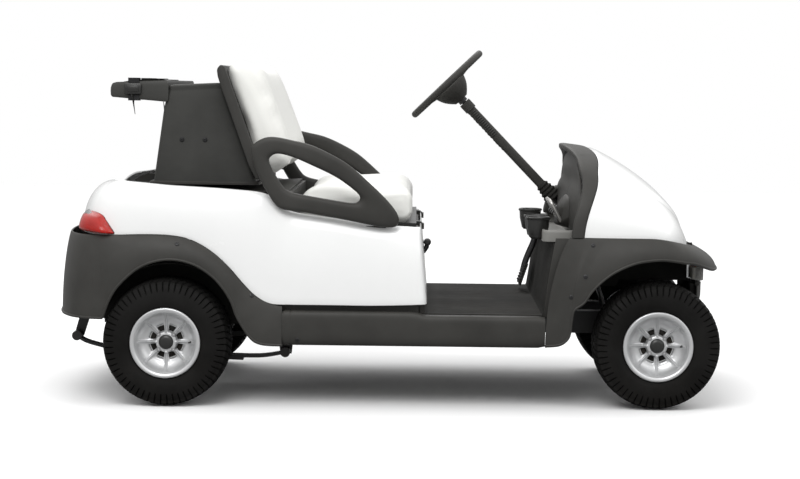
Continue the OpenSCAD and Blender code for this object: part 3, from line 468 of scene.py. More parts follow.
def material(name, base, rough, metallic=0.0, coat=0.0, coat_rough=0.05, grain=0.0, grain_scale=900.0,
             waviness=0.0, bump=0.2, bump_size=0.4, dust=0.1, splash=0.15, scuffs=0.2, tint=0.12,
             sheen=0.0, ior=1.5, specular=0.5):
    """A Principled material with grain, scuffs, colour drift and soiling.

    The colour drifts by tint between two shades, soiling mixes in the dirt colour and adds
    roughness, and the grain's height feeds one Bump node.
    """
    m = bpy.data.materials.new(name)
    m.use_nodes = True
    net = Net(m.node_tree)
    shader = m.node_tree.nodes["Principled BSDF"]
    grainy = net.add("ShaderNodeGroup", node_tree=GRAIN)
    grainy.inputs["Scale"].default_value = grain_scale
    grainy.inputs["Depth"].default_value = grain
    grainy.inputs["Waviness"].default_value = waviness
    worn = net.add("ShaderNodeGroup", node_tree=WEAR)
    worn.inputs["Scuffs"].default_value = scuffs
    soil = net.add("ShaderNodeGroup", node_tree=SOILING)
    soil.inputs["Dust"].default_value = dust
    soil.inputs["Splash"].default_value = splash
    dark = tuple(c * (1 - tint) for c in base) + (1,)
    light = tuple(min(1, c * (1 + tint) + 0.004) for c in base) + (1,)
    colour = net.blend(grainy.outputs["Shade"], dark, light)
    colour = net.blend(net.math("MULTIPLY", worn.outputs["Scratch"], 0.5), colour,
                       tuple(min(1, c * 1.3 + 0.05) for c in base) + (1,))
    colour = net.blend(soil.outputs["Mask"], colour, DIRT)
    net.put(shader.inputs["Base Color"], colour)
    r = net.math("MULTIPLY_ADD", worn.outputs["Scratch"], 0.18, rough)
    r = net.math("MULTIPLY_ADD", worn.outputs["Rub"], 0.06, r)
    r = net.math("MULTIPLY_ADD", soil.outputs["Mask"], 0.35, r, clamp=True)
    net.put(shader.inputs["Roughness"], r)
    shader.inputs["Metallic"].default_value = metallic
    shader.inputs["Coat Weight"].default_value = coat
    shader.inputs["Coat Roughness"].default_value = coat_rough
    shader.inputs["Sheen Weight"].default_value = sheen
    shader.inputs["IOR"].default_value = ior
    shader.inputs["Specular IOR Level"].default_value = specular
    b = net.add("ShaderNodeBump", Strength=bump, Distance=bump_size * MM)
    net.put(b.inputs["Height"], net.math("SUBTRACT", grainy.outputs["Height"],
                                         net.math("MULTIPLY", worn.outputs["Scratch"], 0.3)))
    net.put(shader.inputs["Normal"], b.outputs[0])
    return m


MAT = {
    "white": material("white_gelcoat", (0.86, 0.865, 0.86), 0.22, coat=0.5, coat_rough=0.06, waviness=0.5,
                      bump=0.08, bump_size=0.5, dust=0.01, splash=0.02, scuffs=0.01, tint=0.008),
    "black": material("black_moulding", (0.036, 0.035, 0.032), 0.5, grain=0.8, grain_scale=750,
                      bump=0.35, bump_size=0.25, dust=0.02, splash=0.03, scuffs=0.05, tint=0.12,
                      specular=0.22),
    "bin": material("basket_moulding", (0.040, 0.040, 0.037), 0.5, grain=1.0, grain_scale=620, waviness=0.2,
                    bump=0.4, bump_size=0.3, dust=0.02, splash=0.0, scuffs=0.06, tint=0.12, specular=0.22),
    "black_smooth": material("black_smooth", (0.016, 0.016, 0.015), 0.34, grain=0.25, grain_scale=1200,
                             bump=0.2, bump_size=0.2, dust=0.01, splash=0.02, scuffs=0.08, tint=0.12),
    "webbing": material("webbing", (0.020, 0.020, 0.021), 0.8, grain=1.0, grain_scale=900, bump=0.7,
                        bump_size=0.5, dust=0.03, splash=0.0, scuffs=0.0, tint=0.2, specular=0.2),
    "grey": material("grey_ledge", (0.20, 0.198, 0.185), 0.5, grain=0.6, bump=0.25, dust=0.03, tint=0.06),
    "rubber": material("ribbed_mat", (0.016, 0.0155, 0.014), 0.7, grain=0.9, grain_scale=420, bump=0.5,
                       bump_size=0.5, dust=0.02, splash=0.02, scuffs=0.1, tint=0.2, specular=0.12),
    "tyre": material("tyre_rubber", (0.0075, 0.0072, 0.0068), 0.62, grain=0.6, grain_scale=520, bump=0.4,
                     bump_size=0.4, dust=0.0, splash=0.012, scuffs=0.02, tint=0.25, specular=0.07),
    "silver": material("silver_wheel", (0.60, 0.605, 0.61), 0.36, metallic=0.6, coat=0.15, grain=0.06,
                       grain_scale=1500, bump=0.12, bump_size=0.12, dust=0.0, splash=0.02, scuffs=0.04,
                       tint=0.05),
    "bezel": material("bright_bezel", (0.50, 0.49, 0.47), 0.32, metallic=0.85, grain=0.15, bump=0.15,
                      dust=0.02,
                      splash=0.0, scuffs=0.1, tint=0.08),
    "dark_steel": material("dark_steel", (0.018, 0.018, 0.019), 0.42, metallic=0.35, grain=0.25, bump=0.2,
                           dust=0.04, splash=0.10, scuffs=0.15, tint=0.18),
    "cast": material("cast_metal", (0.05, 0.049, 0.047), 0.62, metallic=0.6, grain=1.0, grain_scale=260,
                     bump=0.5, bump_size=0.7, dust=0.06, splash=0.15, scuffs=0.1, tint=0.2),
    "machined": material("machined_steel", (0.45, 0.45, 0.455), 0.30, metallic=0.95, grain=0.1, bump=0.1,
                         dust=0.02, splash=0.06, scuffs=0.2, tint=0.06),
    "tank": material("tank_plastic", (0.42, 0.41, 0.37), 0.5, grain=0.3, waviness=0.4, bump=0.2, dust=0.1,
                     tint=0.08),
}


def vinyl():
    """Soft off-white seat vinyl: leather cells and fine creases."""
    m = material("seat_vinyl", (0.80, 0.80, 0.765), 0.40, grain=1.0, grain_scale=300, waviness=0.3,
                 bump=0.28, bump_size=0.5, dust=0.03, splash=0.0, scuffs=0.03, tint=0.02, sheen=0.08)
    return m


def lens(name, colour, rough=0.05, rib_axis=(0, 1, 0), ribs=220.0, clear=0.75):
    """Moulded lens: tinted see-through plastic with fine prism ribs on its face."""
    m = bpy.data.materials.new(name)
    m.use_nodes = True
    net = Net(m.node_tree)
    shader = m.node_tree.nodes["Principled BSDF"]
    at = object_coords(net)
    turn = net.add("ShaderNodeMapping")
    net.put(turn.inputs[0], at)
    turn.inputs[3].default_value = [ribs * k + 2.0 for k in rib_axis]
    wave = net.add("ShaderNodeTexWave", bands_direction="DIAGONAL", Vector=turn.outputs[0], Scale=1.0)
    cloud = net.noise(at, 30.0, 3.0)
    soil = net.add("ShaderNodeGroup", node_tree=SOILING)
    soil.inputs["Dust"].default_value = 0.0
    soil.inputs["Splash"].default_value = 0.01
    tone = net.blend(net.ramp(cloud, 0.3, 0.7), tuple(c * 0.8 for c in colour) + (1,), tuple(colour) + (1,))
    net.put(shader.inputs["Base Color"], net.blend(soil.outputs["Mask"], tone, DIRT))
    net.put(shader.inputs["Roughness"], net.math("MULTIPLY_ADD", cloud, 0.06, rough))
    shader.inputs["Transmission Weight"].default_value = clear
    shader.inputs["IOR"].default_value = 1.49
    b = net.add("ShaderNodeBump", Strength=0.4, Distance=0.6 * MM)
    net.put(b.inputs["Height"], wave.outputs[1])
    net.put(shader.inputs["Normal"], b.outputs[0])
    return m


def pocket_shade_faces(c, x, y):
    """Faces of a wheel disc that lie deep between its ribs, for a wheel centred at x and y, which get the
    near-black painted shade.
    """
    r = np.hypot(c[:, 0] - x, c[:, 2] - AXLE_Z)
    out = (c[:, 1] - y) * math.copysign(1, y)
    return (r > 36) & (r < 60) & (out < 42.0)


# Near-black base on the pocket floors is painted shade standing in for the dark seen through the wheel's
# holes; its dust and splash add real soiling.
MAT["pocket"] = material("wheel_pocket", (0.008, 0.008, 0.008), 0.7, metallic=0.0, specular=0.1, grain=0.3,
                         bump=0.15,
                         dust=0.1, splash=0.3, scuffs=0.05, tint=0.2)
MAT["vinyl"] = vinyl()
MAT["red_lens"] = lens("red_lens", (0.62, 0.010, 0.003), 0.12, (1, 1, 0.2), 130.0, 0.35)
MAT["clear_lens"] = lens("clear_lens", (0.93, 0.94, 0.95), 0.03, (0.2, 1, 0), 150.0, 0.9)
MAT["amber"] = lens("amber_lens", (0.85, 0.22, 0.05), 0.1, (0, 1, 0), 120.0, 0.3)


def dress(obj, *names):
    """Gives a piece its materials, by the names in MAT."""
    obj.data.materials.clear()
    for n in names:
        obj.data.materials.append(MAT[n])
    return obj


def paint_faces(obj, index, chosen):
    """Gives the material index to the faces whose middles in millimetres pass the test chosen."""
    c = np.zeros(len(obj.data.polygons) * 3)
    obj.data.polygons.foreach_get("center", c)
    i = np.zeros(len(obj.data.polygons), np.int32)
    obj.data.polygons.foreach_get("material_index", i)
    i[chosen(c.reshape(-1, 3) / MM)] = index
    obj.data.polygons.foreach_set("material_index", i)


# ---- body skins -------------------------------------------------------------------------

def plan_y(x, w, s, tip, n):
    """Half width of a plan outline, w wide up to x = s, that closes at tip with power n."""
    x = np.asarray(x, float)
    u = np.clip((x - s) / (tip - s), 0, 1)
    return w * (1 - u ** n) ** (1 / n)


def plan_at(deg, w, s, tip, n):
    """Point of the closing part of that outline at an angle, 90 degrees at the tip."""
    a = np.radians(deg)
    return np.stack([s + (tip - s) * np.sin(a) ** (2 / n), -w * np.clip(np.cos(a), 0, 1) ** (2 / n)], -1)


def plan_angle(x, s, tip, n):
    """Angle at which that closing part passes x."""
    return math.degrees(math.asin(((x - s) / (tip - s)) ** (n / 2)))


def roll_rows(upper, lower, power, k):
    """Rows from upper to lower points: x and y go as sin(90 t) and z as t to the power."""
    t = np.linspace(0, 1, k + 1)[None, :, None]
    g = mix(upper[:, None], lower[:, None], np.sin(np.pi / 2 * t))
    g[..., 2] = mix(upper[:, None, 2], lower[:, None, 2], t[..., 0] ** power)
    return g


def end_outline(w, s, tip, n, start, cut, m):
    """Plan points from the angle start to where the outline is cut wide, m steps, start left out."""
    end = math.degrees(math.acos((cut / w) ** (n / 2)))
    return plan_at(mix(start, end, np.arange(1, m + 1) / m), w, s, tip, n)


CORNER = 3.0
BODY_W = REAR_W - 40
SILL_W = REAR_W - 22
REAR_S = RA - 160
TAIL, TAIL_TOP = -HALF_L - 15, -HALF_L + 14
SKIRT_Z = 299.0
arch = [[18 + 238 * math.cos(math.radians(a)), AXLE_Z + 282 * math.sin(math.radians(a))]
        for a in (18, 30, 42, 54, 69, 85, 101, 118, 137, 150, 163)]
FENDER_EDGE = np.array([[392, 342], [353, 352], [303, 378], [262, 418], [218, 468], [168, 515], [117, 549],
                        [67, 570], [10, 579], [-50, 581], [-110, 580], [-165, 578], [-210, 577],
                        [-245, 576]], float)
FENDER_LIP = np.array([[392, 212], [325, 216], [287, 238]] + arch, float)
FENDER_LIP[-1, 1] = SKIRT_Z


def fender_skin():
    """Right half of the rear fender: rolled rows down the side, then round the tail."""
    table = spline(np.c_[FENDER_EDGE, FENDER_LIP, -22 * np.clip(1 - np.arange(14) / 5, 0, 1)], 7)
    ux, uz, lx, lz, wide = table.T
    upper = np.stack([RA + ux, -plan_y(RA + ux, REAR_W - 38, REAR_S, TAIL_TOP, CORNER), uz], 1)
    lower = np.stack([RA + lx, -plan_y(RA + lx, REAR_W, REAR_S, TAIL, CORNER) - wide, lz], 1)
    u = end_outline(REAR_W - 38, REAR_S, TAIL_TOP, CORNER,
                    plan_angle(upper[-1, 0], REAR_S, TAIL_TOP, CORNER), 0, 26)
    l = end_outline(REAR_W, REAR_S, TAIL, CORNER, plan_angle(lower[-1, 0], REAR_S, TAIL, CORNER), 0, 26)
    upper = np.vstack([upper, np.c_[u, np.full(26, 576.0)]])
    lower = np.vstack([lower, np.c_[l, np.full(26, SKIRT_Z)]])
    return roll_rows(upper, lower, 1.33, 26)


half = fender_skin()
whole = two_sides(half)
bead = spaced(whole[:, -1], 420) - [0, 0, 1.0]
obj = piece("rear_fender_skin", *joined(rounded_shell(whole, 6.0),
            tube(bead * [1, 0.9965, 1] + [0, 0, 3], 5.0, 8)), "chassis", "black_plastic", ["rear_fenders"])
dress(obj, "black")

BODY_TOP = np.array([[850, 609], [700, 617], [550, 638], [450, 651], [402, 664], [372, 692], [331, 716],
                     [290, 724], [240, 728], [185, 732], [130, 735], [67, 738], [10, 741], [-50, 746],
                     [-110, 751], [-150, 754], [-175, 752], [-190, 750]], float)
BODY_LOW = np.vstack([[[873, 357], [705, 352], [570, 352], [475, 352], [420, 352]],
                      FENDER_EDGE[1:] + [0, 3]])
BODY_S, BODY_TIP, BODY_TOP_TIP, BODY_ROLL, WELL_W = RA - 100, RA - 328, RA - 219, 45, 345


def body_skin():
    """Right half of the rear body: kick panel, rounded front corner, side and rear quarter."""
    table = spline(np.c_[BODY_TOP, BODY_LOW], 6)
    ux, uz, lx, lz = table.T
    upper = np.stack([RA + ux, -plan_y(RA + ux, BODY_W - BODY_ROLL, BODY_S, BODY_TOP_TIP, CORNER), uz], 1)
    lower = np.stack([RA + lx, -plan_y(RA + lx, BODY_W, BODY_S, BODY_TIP, CORNER), lz], 1)
    m, cut = 20, WELL_W + 0.5
    u = end_outline(BODY_W - BODY_ROLL, BODY_S, BODY_TOP_TIP, CORNER,
                    plan_angle(upper[-1, 0], BODY_S, BODY_TOP_TIP, CORNER), cut, m)
    l = end_outline(BODY_W, BODY_S, BODY_TIP, CORNER, plan_angle(lower[-1, 0], BODY_S, BODY_TIP, CORNER),
                    cut, m)
    upper = np.vstack([upper, np.c_[u, np.full(m, 750.0)]])
    lower = np.vstack([lower, np.c_[l, np.full(m, 579.0)]])
    g = roll_rows(upper, lower, 1.85, 24)
    front = g[0].copy()
    share = (front[0, 2] - front[:, 2]) / (front[0, 2] - front[-1, 2])
    front[:, 0] = RA + mix(850, 873, share) + 1.5
    r = 20.0
    g = g[2:]
    flat = np.array([-330, -180, 0.0])
    wrap = [front + [r * (math.sin(a) - 1), r * (1 - math.cos(a)),
                     0] for a in np.radians([90, 72, 54, 36, 18, 0])]
    kick = [np.stack([front[:, 0] + 3 * (1 - (y / 540) ** 2), np.full(len(front), y), front[:, 2] + 3], 1)
            for y in flat[::-1]]
    return np.concatenate([np.stack(kick), np.stack(wrap), g], 0)


half = body_skin()
whole = np.concatenate([(half * [1, -1, 1])[::-1][:-1], half], 0)
obj = piece("rear_body_skin", *rounded_shell(whole, 5.0, out_sign=-1), "chassis", "white_body",
            ["rear_body"])
dress(obj, "white")

NOSE_EDGE_X = np.array([-304, -275, -250, -228, -205, -180, -155, -125, -85, -40, 5, 40, 65], float)
NOSE_LIP = np.array([[-385, 219], [-334, 225], [-306, 250], [-298, 300], [-290, 340]]
                    + [[297 * math.cos(math.radians(a)), AXLE_Z + 297 * math.sin(math.radians(a))]
                       for a in (150, 142, 133, 121, 106, 90, 79)] + [[85, 503]], float)
NOSE_S, NOSE_N, OVERHANG, BROW = 10.0, 2.2, HALF_L - FA - 13, 110.0
NOSE_W = SILL_W


def nose_line(x):
    """Height of the edge between cowl and fender, x ahead of the front axle."""
    return mix(585.0, 541.0, (np.clip(np.asarray(x, float) + 40, 0, None) / (OVERHANG - BROW + 40)) ** 2)


def nose_skin():
    """Right half of the front fender: side panel, arch and brow round the nose."""
    table = spline(np.c_[NOSE_EDGE_X, NOSE_LIP], 7)
    ux, lx, lz = table.T
    upper = np.stack([FA + ux, -plan_y(ux, NOSE_W - 35, NOSE_S, OVERHANG - BROW, NOSE_N), nose_line(ux)], 1)
    lower = np.stack([FA + lx, -plan_y(lx, NOSE_W, NOSE_S, OVERHANG, NOSE_N), lz], 1)
    m = 28
    u = end_outline(NOSE_W - 35, NOSE_S, OVERHANG - BROW, NOSE_N,
                    plan_angle(65, NOSE_S, OVERHANG - BROW, NOSE_N), 0, m)
    l = end_outline(NOSE_W, NOSE_S, OVERHANG, NOSE_N, plan_angle(85, NOSE_S, OVERHANG, NOSE_N), 0, m)
    t = np.clip((l[:, 0] - 85) / (OVERHANG - 85), 0, 1)
    upper = np.vstack([upper, np.c_[u[:, 0] + FA, u[:, 1], nose_line(u[:, 0])]])
    lower = np.vstack([lower, np.c_[l[:, 0] + FA, l[:, 1], mix(503, 458, t * t * (3 - 2 * t))]])
    return roll_rows(upper, lower, 1.33, 26)


half = nose_skin()
whole = two_sides(half)
bead = spaced(whole[:, -1], 420)
obj = piece("front_fender_skin", *joined(rounded_shell(whole, 6.0),
            tube(bead * [1, 0.9965, 1] + [0, 0, 3], 4.5, 8)), "chassis", "black_plastic", ["front_fenders"])
dress(obj, "black")

CROWN = np.array([[-240, 872], [-212, 864], [-161, 842], [-88, 803], [-18, 756], [34, 709], [68, 670],
                  [93, 625], [114, 582], [133, 546]], float)


def cowl_row(x, crown, half_w, foot, grow, k):
    """One arched section: superellipse whose sides stand on the nose line, with a shoulder crease."""
    a = np.linspace(0, np.pi, k + 1)
    h = np.sin(a) ** (2 / 2.5)
    up = (1 - (x + 240) / 400) ** 2
    lean = (40 * np.sin(np.pi * h ** 1.9) - 16 * (1 - h) + 33 * smooth(h, 0.72, 1.0)) * up
    y = -(half_w + grow) * np.sign(np.cos(a)) * np.abs(np.cos(a)) ** (2 / 2.7)
    return np.stack([FA + x + lean, y, mix(foot, crown + grow, h)], 1)


def cowl_skin(k=84):
    """Cowl: a row at each crown point, with two creases and the field between them raised 5 mm."""
    c = spline(CROWN, 8)
    tip = OVERHANG - BROW - 1
    rows = [cowl_row(x, z, float(plan_y(x, NOSE_W - 36, NOSE_S, tip, NOSE_N)), float(nose_line(x)) + 0.5, 0,
                     k)
            for x, z in c]
    g = np.stack(rows)
    n = grid_normals(g)
    n = n * np.sign((n * (g - g.reshape(-1, 3).mean(0))).sum(-1).mean())
    a = np.linspace(0, 180, k + 1)
    along = np.linspace(0, 1, len(g))[:, None]
    crease = bump_at(a, mix(38, 60, along), 2.6) + bump_at(a, 180 - mix(38, 60, along), 2.6)
    raised = smooth(a, mix(38, 60, along), mix(44, 66, along)) * (1 - smooth(a, 180 - mix(44, 66, along),
                                                                             180 - mix(38, 60, along)))
    fade = smooth(along, 0.0, 0.08) * (1 - smooth(along, 0.8, 1.0))
    return g + n * ((raised * 5.0 - crease * 1.5) * fade)[..., None]


obj = piece("cowl_skin", *rounded_shell(cowl_skin(), 6.0), "chassis", "white_body", ["front_cowl"])
dress(obj, "white")


def hoop(k=84):
    """Padded hoop behind the cowl: a rounded section carried round the cowl's rear edge.

    The section is a rounded bar, wide along x over the top and narrow at the feet.
    """
    base = cowl_row(-240, 872, float(plan_y(-240, NOSE_W - 36, NOSE_S, 160, NOSE_N)), 585.5, 0, k)
    a = np.linspace(0, np.pi, k + 1)
    wide = mix(42, 96, np.sin(a) ** 3)
    out = np.stack([np.zeros(k + 1), *unit(np.stack([np.gradient(base[:, 2]), -np.gradient(base[:, 1])],
                                                    1)).T], 1)
    out *= np.sign((out * (base - [0, 0, 650])).sum(1))[:, None]
    th = np.linspace(0, 2 * np.pi, 29)[:-1]
    cx = np.sign(np.cos(th)) * np.abs(np.cos(th)) ** 0.42
    cz = np.sign(np.sin(th)) * np.abs(np.sin(th)) ** 0.55
    centre = base - np.stack([2 + wide / 2, 0 * a, -6 * np.sin(a)], 1)
    rise = 12 * np.sin(a)
    v = centre[:, None] + np.stack([0.5 * wide[:, None] * cx, 0 * a[:, None] * cx,
                                    -0.5 * rise[:, None] * cx], -1) \
        + out[:, None] * (-5 + 12.0 * cz)[None, :, None]
    f = list(grid_quads(k + 1, len(th), close_v=True))
    f += [list(range(len(th))), [k * len(th) + i for i in range(len(th))]]
    return v.reshape(-1, 3), f


obj = piece("dash_hoop", *hoop(), "chassis", "black_plastic", ["dash_trim"])
dress(obj, "black")

# ---- wheels -----------------------------------------------------------------------------

def tyre_shape(width, tyre_r, rim_r, sign):
    """Turf tyre: a section turned about its axle, with shoulder blocks raised by a groove mask.

    At each angle the tread points move in by 5 mm times a mask that is 1 in the grooves: cross
    grooves that slant with the height, a zigzag ring groove either side of the middle.
    """
    w = width / 2
    bead = w - 14
    side = spline([[rim_r - 1, -bead + 2], [rim_r + 6, -w + 9], [rim_r + 22, -w + 2],
                   [rim_r + 44, -w + 0.5],
                   [tyre_r - 34, -w + 4], [tyre_r - 20, -w + 10]], 4)
    tread_z = np.linspace(-w + 11, w - 11, 31)
    crown = tyre_r - 1 - 10.5 * np.abs(tread_z / (w - 11)) ** 3.4
    prof = np.vstack([side, np.c_[crown, tread_z], side[::-1] * [1, -1]])
    inner = spline([[rim_r - 1, bead - 2], [rim_r + 8, bead - 8], [rim_r + 60, w - 14], [tyre_r - 14, 0],
                    [rim_r + 60, -w + 14], [rim_r + 8, -bead + 8], [rim_r - 1, -bead + 2]], 2)[1:-1]
    n = 406
    a = np.arange(n) * 2 * np.pi / n
    r, z = prof[:, 0][None], prof[:, 1][None]
    blocks = 58
    u = np.abs(z) / w
    slant = a[:, None] * blocks / (2 * np.pi) + 0.5 * (z > 0) + 0.35 * np.sin(np.clip(u, 0, 1) * 5.0)
    cell = np.abs((slant % 1) - 0.5) * 2
    across = smooth(cell, 0.74, 0.86) * smooth(u, 0.18, 0.24)
    wave = 0.30 + 0.06 * np.sign(np.sin(slant * np.pi * 2))
    ring = bump_at(u, wave, 0.045)
    centre = bump_at(u, 0.0, 0.035)
    lug = smooth(r, tyre_r - 44, tyre_r - 36)
    depth = 6.5 * np.clip(across + ring + centre, 0, 1) * lug
    n2 = unit(np.stack([-np.gradient(prof[:, 1]), np.gradient(prof[:, 0])], 1))
    n2 = n2 * np.sign((n2 * (prof - [rim_r + 40, 0])).sum(1))[:, None]
    ridges = 0.7 * (bump_at(prof[:, 0], rim_r + 30, 1.2) + bump_at(prof[:, 0], rim_r + 58, 1.2)
                    + 1.6 * bump_at(prof[:, 0], rim_r + 10, 2.0)) * (np.abs(prof[:, 1]) > w - 16)
    move = -depth + ridges[None]
    rr = np.concatenate([r + n2[None, :, 0] * move, np.broadcast_to(inner[:, 0], (n, len(inner)))], 1)
    zz = np.concatenate([z + n2[None, :, 1] * move, np.broadcast_to(inner[:, 1], (n, len(inner)))], 1)
    v = np.stack([rr * np.cos(a)[:, None], rr * np.sin(a)[:, None], zz * sign], -1)
    return v.reshape(-1, 3), list(grid_quads(n, v.shape[1], close_u=True, close_v=True))


def rim_shape(width):
    """Pressed wheel: a dished face between hub and flange whose depth varies with the angle.

    The face carries eight raised ribs, raised by a bell of the angle, and eight pockets
    between them, sunk by a smooth box in radius times a smooth box in angle.
    """
    bead = width / 2 - 14
    n = 256
    a = np.arange(n) * 2 * np.pi / n
    face = spline([[25, 66], [33, 64], [40, 56], [46, 50], [56, 49], [72, 52], [86, 62], [95, 74],
                   [99, bead - 4], [102, bead + 1]], 4)
    lip = spline([[102, bead + 1], [104, bead + 6], [109, bead + 9.5], [115, bead + 10.5],
                  [118.5, bead + 8],
                  [119, bead + 3], [116.5, bead - 1]], 3)[1:]
    back = np.array([[101.5, bead - 2], [100, 30], [100, -bead + 2], [103, -bead - 2], [113, -bead - 6],
                     [117, -bead - 4], [117, -bead - 8], [110, -bead - 9.5], [100, -bead - 6],
                     [96, -bead + 4],
                     [95, 20], [92, 58], [84, 52], [72, 44], [56, 41], [40, 40], [25, 46]], float)
    prof = np.vstack([face, lip, back])
    k = len(face)
    r = prof[:k, 0][None]
    spoke = np.abs(((a[:, None] * 8 / (2 * np.pi)) + 0.5) % 1 - 0.5)
    rib = bump_at(spoke, 0, 0.075 * 60 / r) * smooth(r, 30, 38) * (1 - smooth(r, 94, 101))
    pocket = smooth(spoke, 0.20, 0.27) * smooth(r, 34, 39) * (1 - smooth(r, 56, 62))
    z = np.broadcast_to(prof[:, 1], (n, len(prof))).copy()
    z[:, :k] += 8.5 * rib - 16.0 * pocket
    rr = np.broadcast_to(prof[:, 0], z.shape)
    v = np.stack([rr * np.cos(a)[:, None], rr * np.sin(a)[:, None], z], -1).reshape(-1, 3)
    shell = v, list(grid_quads(n, len(prof), close_u=True, close_v=True))
    cap = lathe([[0, 74], [12, 73.6], [19, 72], [23, 68.5], [24.5, 63], [24.5, 55], [0, 55]], 48)
    nuts = [placed(lathe([[0, 10], [6, 10], [8, 8], [8.2, 0], [0, 0]], 6),
                   (34.5 * math.cos(b), 34.5 * math.sin(b), 57)) for b in np.radians([45, 135, 225, 315])]
    valve = tube([[84, 0, 60], [82, 0, 70], [78, 0, 78]], [4, 4, 3], 10)
    return shell, cap, nuts, valve


def at_wheel(part, x, y):
    """Turns a wheel shape from its own axis to the axle, outer face away from the middle."""
    v, f = part
    v = np.asarray(v)
    s = math.copysign(1, y)
    w = np.stack([v[:, 0], s * v[:, 2], v[:, 1]], 1) + [x, y, AXLE_Z]
    return w, f


TYRE_W = (node_box("front_left_tyre")[1] - node_box("front_left_tyre")[0])[1]
RIM_R = 117
for end, x, track in (("front", FA, FRONT_Y), ("rear", RA, REAR_Y)):
    for side, sign in (("left", 1), ("right", -1)):
        body = "%s_%s_wheel" % (end, side)
        tread = tyre_shape(TYRE_W, TYRE_R, RIM_R, 1)
        obj = piece("%s_%s_tyre_piece" % (end, side), *at_wheel(tread, x, sign * track), body, "tyre",
                    ["%s_%s_tyre" % (end, side)], sharp=38)
        dress(obj, "tyre")
        shell, cap, nuts, valve = rim_shape(TYRE_W)
        obj = piece("%s_%s_wheel_disc" % (end, side), *at_wheel(shell, x, sign * track), body, "rim",
                    ["%s_%s_rim" % (end, side)], sharp=50)
        # The deep pocket faces get the near-black painted shade.
        dress(obj, "silver", "pocket")
        paint_faces(obj, 1, lambda c, x=x, y=sign * track: pocket_shade_faces(c, x, y))
        obj = piece("%s_%s_cap" % (end, side), *at_wheel(joined(cap, valve), x, sign * track), body,
                    "black_plastic")
        dress(obj, "black_smooth")
        obj = piece("%s_%s_nuts" % (end, side), *at_wheel(joined(*nuts), x, sign * track), body, "machined")
        dress(obj, "machined")

# ---- cushions ---------------------------------------------------------------------------

BASE_Z = 608.0
SEAT_FRONT = RA + 849
CUSHION_W = 488.0
BACK_FOOT = np.array([RA + 318, 0, 768.0])
BACK_TURN = math.radians(-19.863)


def along_back(v):
    """Turns points from the backrest's own frame, +Z up its face, to their place."""
    c, s = math.cos(BACK_TURN), math.sin(BACK_TURN)
    v = np.asarray(v, float)
    return np.stack([v[..., 0] * c + v[..., 2] * s, v[..., 1], -v[..., 0] * s + v[..., 2] * c],
                    -1) + BACK_FOOT


def evaluated(obj):
    """The piece's mesh with its modifiers applied."""
    deps = bpy.context.evaluated_depsgraph_get()
    deps.update()
    return bpy.data.meshes.new_from_object(obj.evaluated_get(deps))


def mesh_points(mesh):
    """A mesh's points as rows, in metres."""
    p = np.zeros(len(mesh.vertices) * 3)
    mesh.vertices.foreach_get("co", p)
    return p.reshape(-1, 3)


def mesh_normals(mesh):
    """A mesh's point normals as rows."""
    n = np.zeros(len(mesh.vertices) * 3)
    mesh.vertices.foreach_get("normal", n)
    return n.reshape(-1, 3)


def inflate(obj, cap, voxel=10.0, pressure=4.0, frames=20):
    """Swells a pad as sewn cloth under pressure: voxel remesh, Cloth, and a cap on the travel.

    The travel of each point is its way over the frames, cut to cap in length and then
    averaged twelve times with that of its neighbours, which keeps the fullness and
    takes out the fine wrinkles.
    """
    mod = obj.modifiers.new("voxels", "REMESH")
    mod.mode, mod.voxel_size = "VOXEL", voxel * MM
    obj.data = evaluated(obj)
    obj.modifiers.clear()
    start = mesh_points(obj.data)
    scene = bpy.context.scene
    cloth = obj.modifiers.new("cloth", "CLOTH")
    s = cloth.settings
    s.quality, s.mass = 4, 0.3
    s.tension_stiffness = s.compression_stiffness = 12
    s.shear_stiffness, s.bending_stiffness = 6, 2.5
    s.use_pressure, s.uniform_pressure_force = True, pressure
    s.effector_weights.gravity = 0
    cloth.point_cache.frame_start, cloth.point_cache.frame_end = 1, frames
    for i in range(1, frames + 1):
        scene.frame_set(i)
    grown = mesh_points(evaluated(obj))
    obj.modifiers.clear()
    scene.frame_set(1)
    d = grown - start
    length = np.linalg.norm(d, axis=1, keepdims=True)
    d *= np.minimum(1, cap * MM / np.maximum(length, 1e-9))
    ends = np.zeros(len(obj.data.edges) * 2, np.int64)
    obj.data.edges.foreach_get("vertices", ends)
    a, b = ends.reshape(-1, 2).T
    count = np.bincount(ends, minlength=len(d))[:, None]
    for i in range(12):
        near = np.stack([np.bincount(a, d[b, k], len(d)) + np.bincount(b, d[a, k],
                                                                       len(d)) for k in range(3)], 1)
        d = 0.5 * d + 0.5 * near / count
    obj.data.vertices.foreach_set("co", (start + d).ravel())
    mod = obj.modifiers.new("finer", "SUBSURF")
    mod.levels = mod.render_levels = 1
    obj.data = evaluated(obj)
    obj.modifiers.clear()


def pressed(obj, depth):
    """Moves the points in along their normals by depth, which is worked out from their places."""
    p, n = mesh_points(obj.data), mesh_normals(obj.data)
    p -= n * (depth(p / MM, n) * MM)[:, None]
    obj.data.vertices.foreach_set("co", p.ravel())
    obj.data.update()
    obj.data.shade_smooth()


def to_back(p):
    """Places in the backrest's own frame, the inverse of along_back."""
    c, s = math.cos(BACK_TURN), math.sin(BACK_TURN)
    q = p - BACK_FOOT
    return np.stack([q[..., 0] * c - q[..., 2] * s, q[..., 1], q[..., 0] * s + q[..., 2] * c], -1)


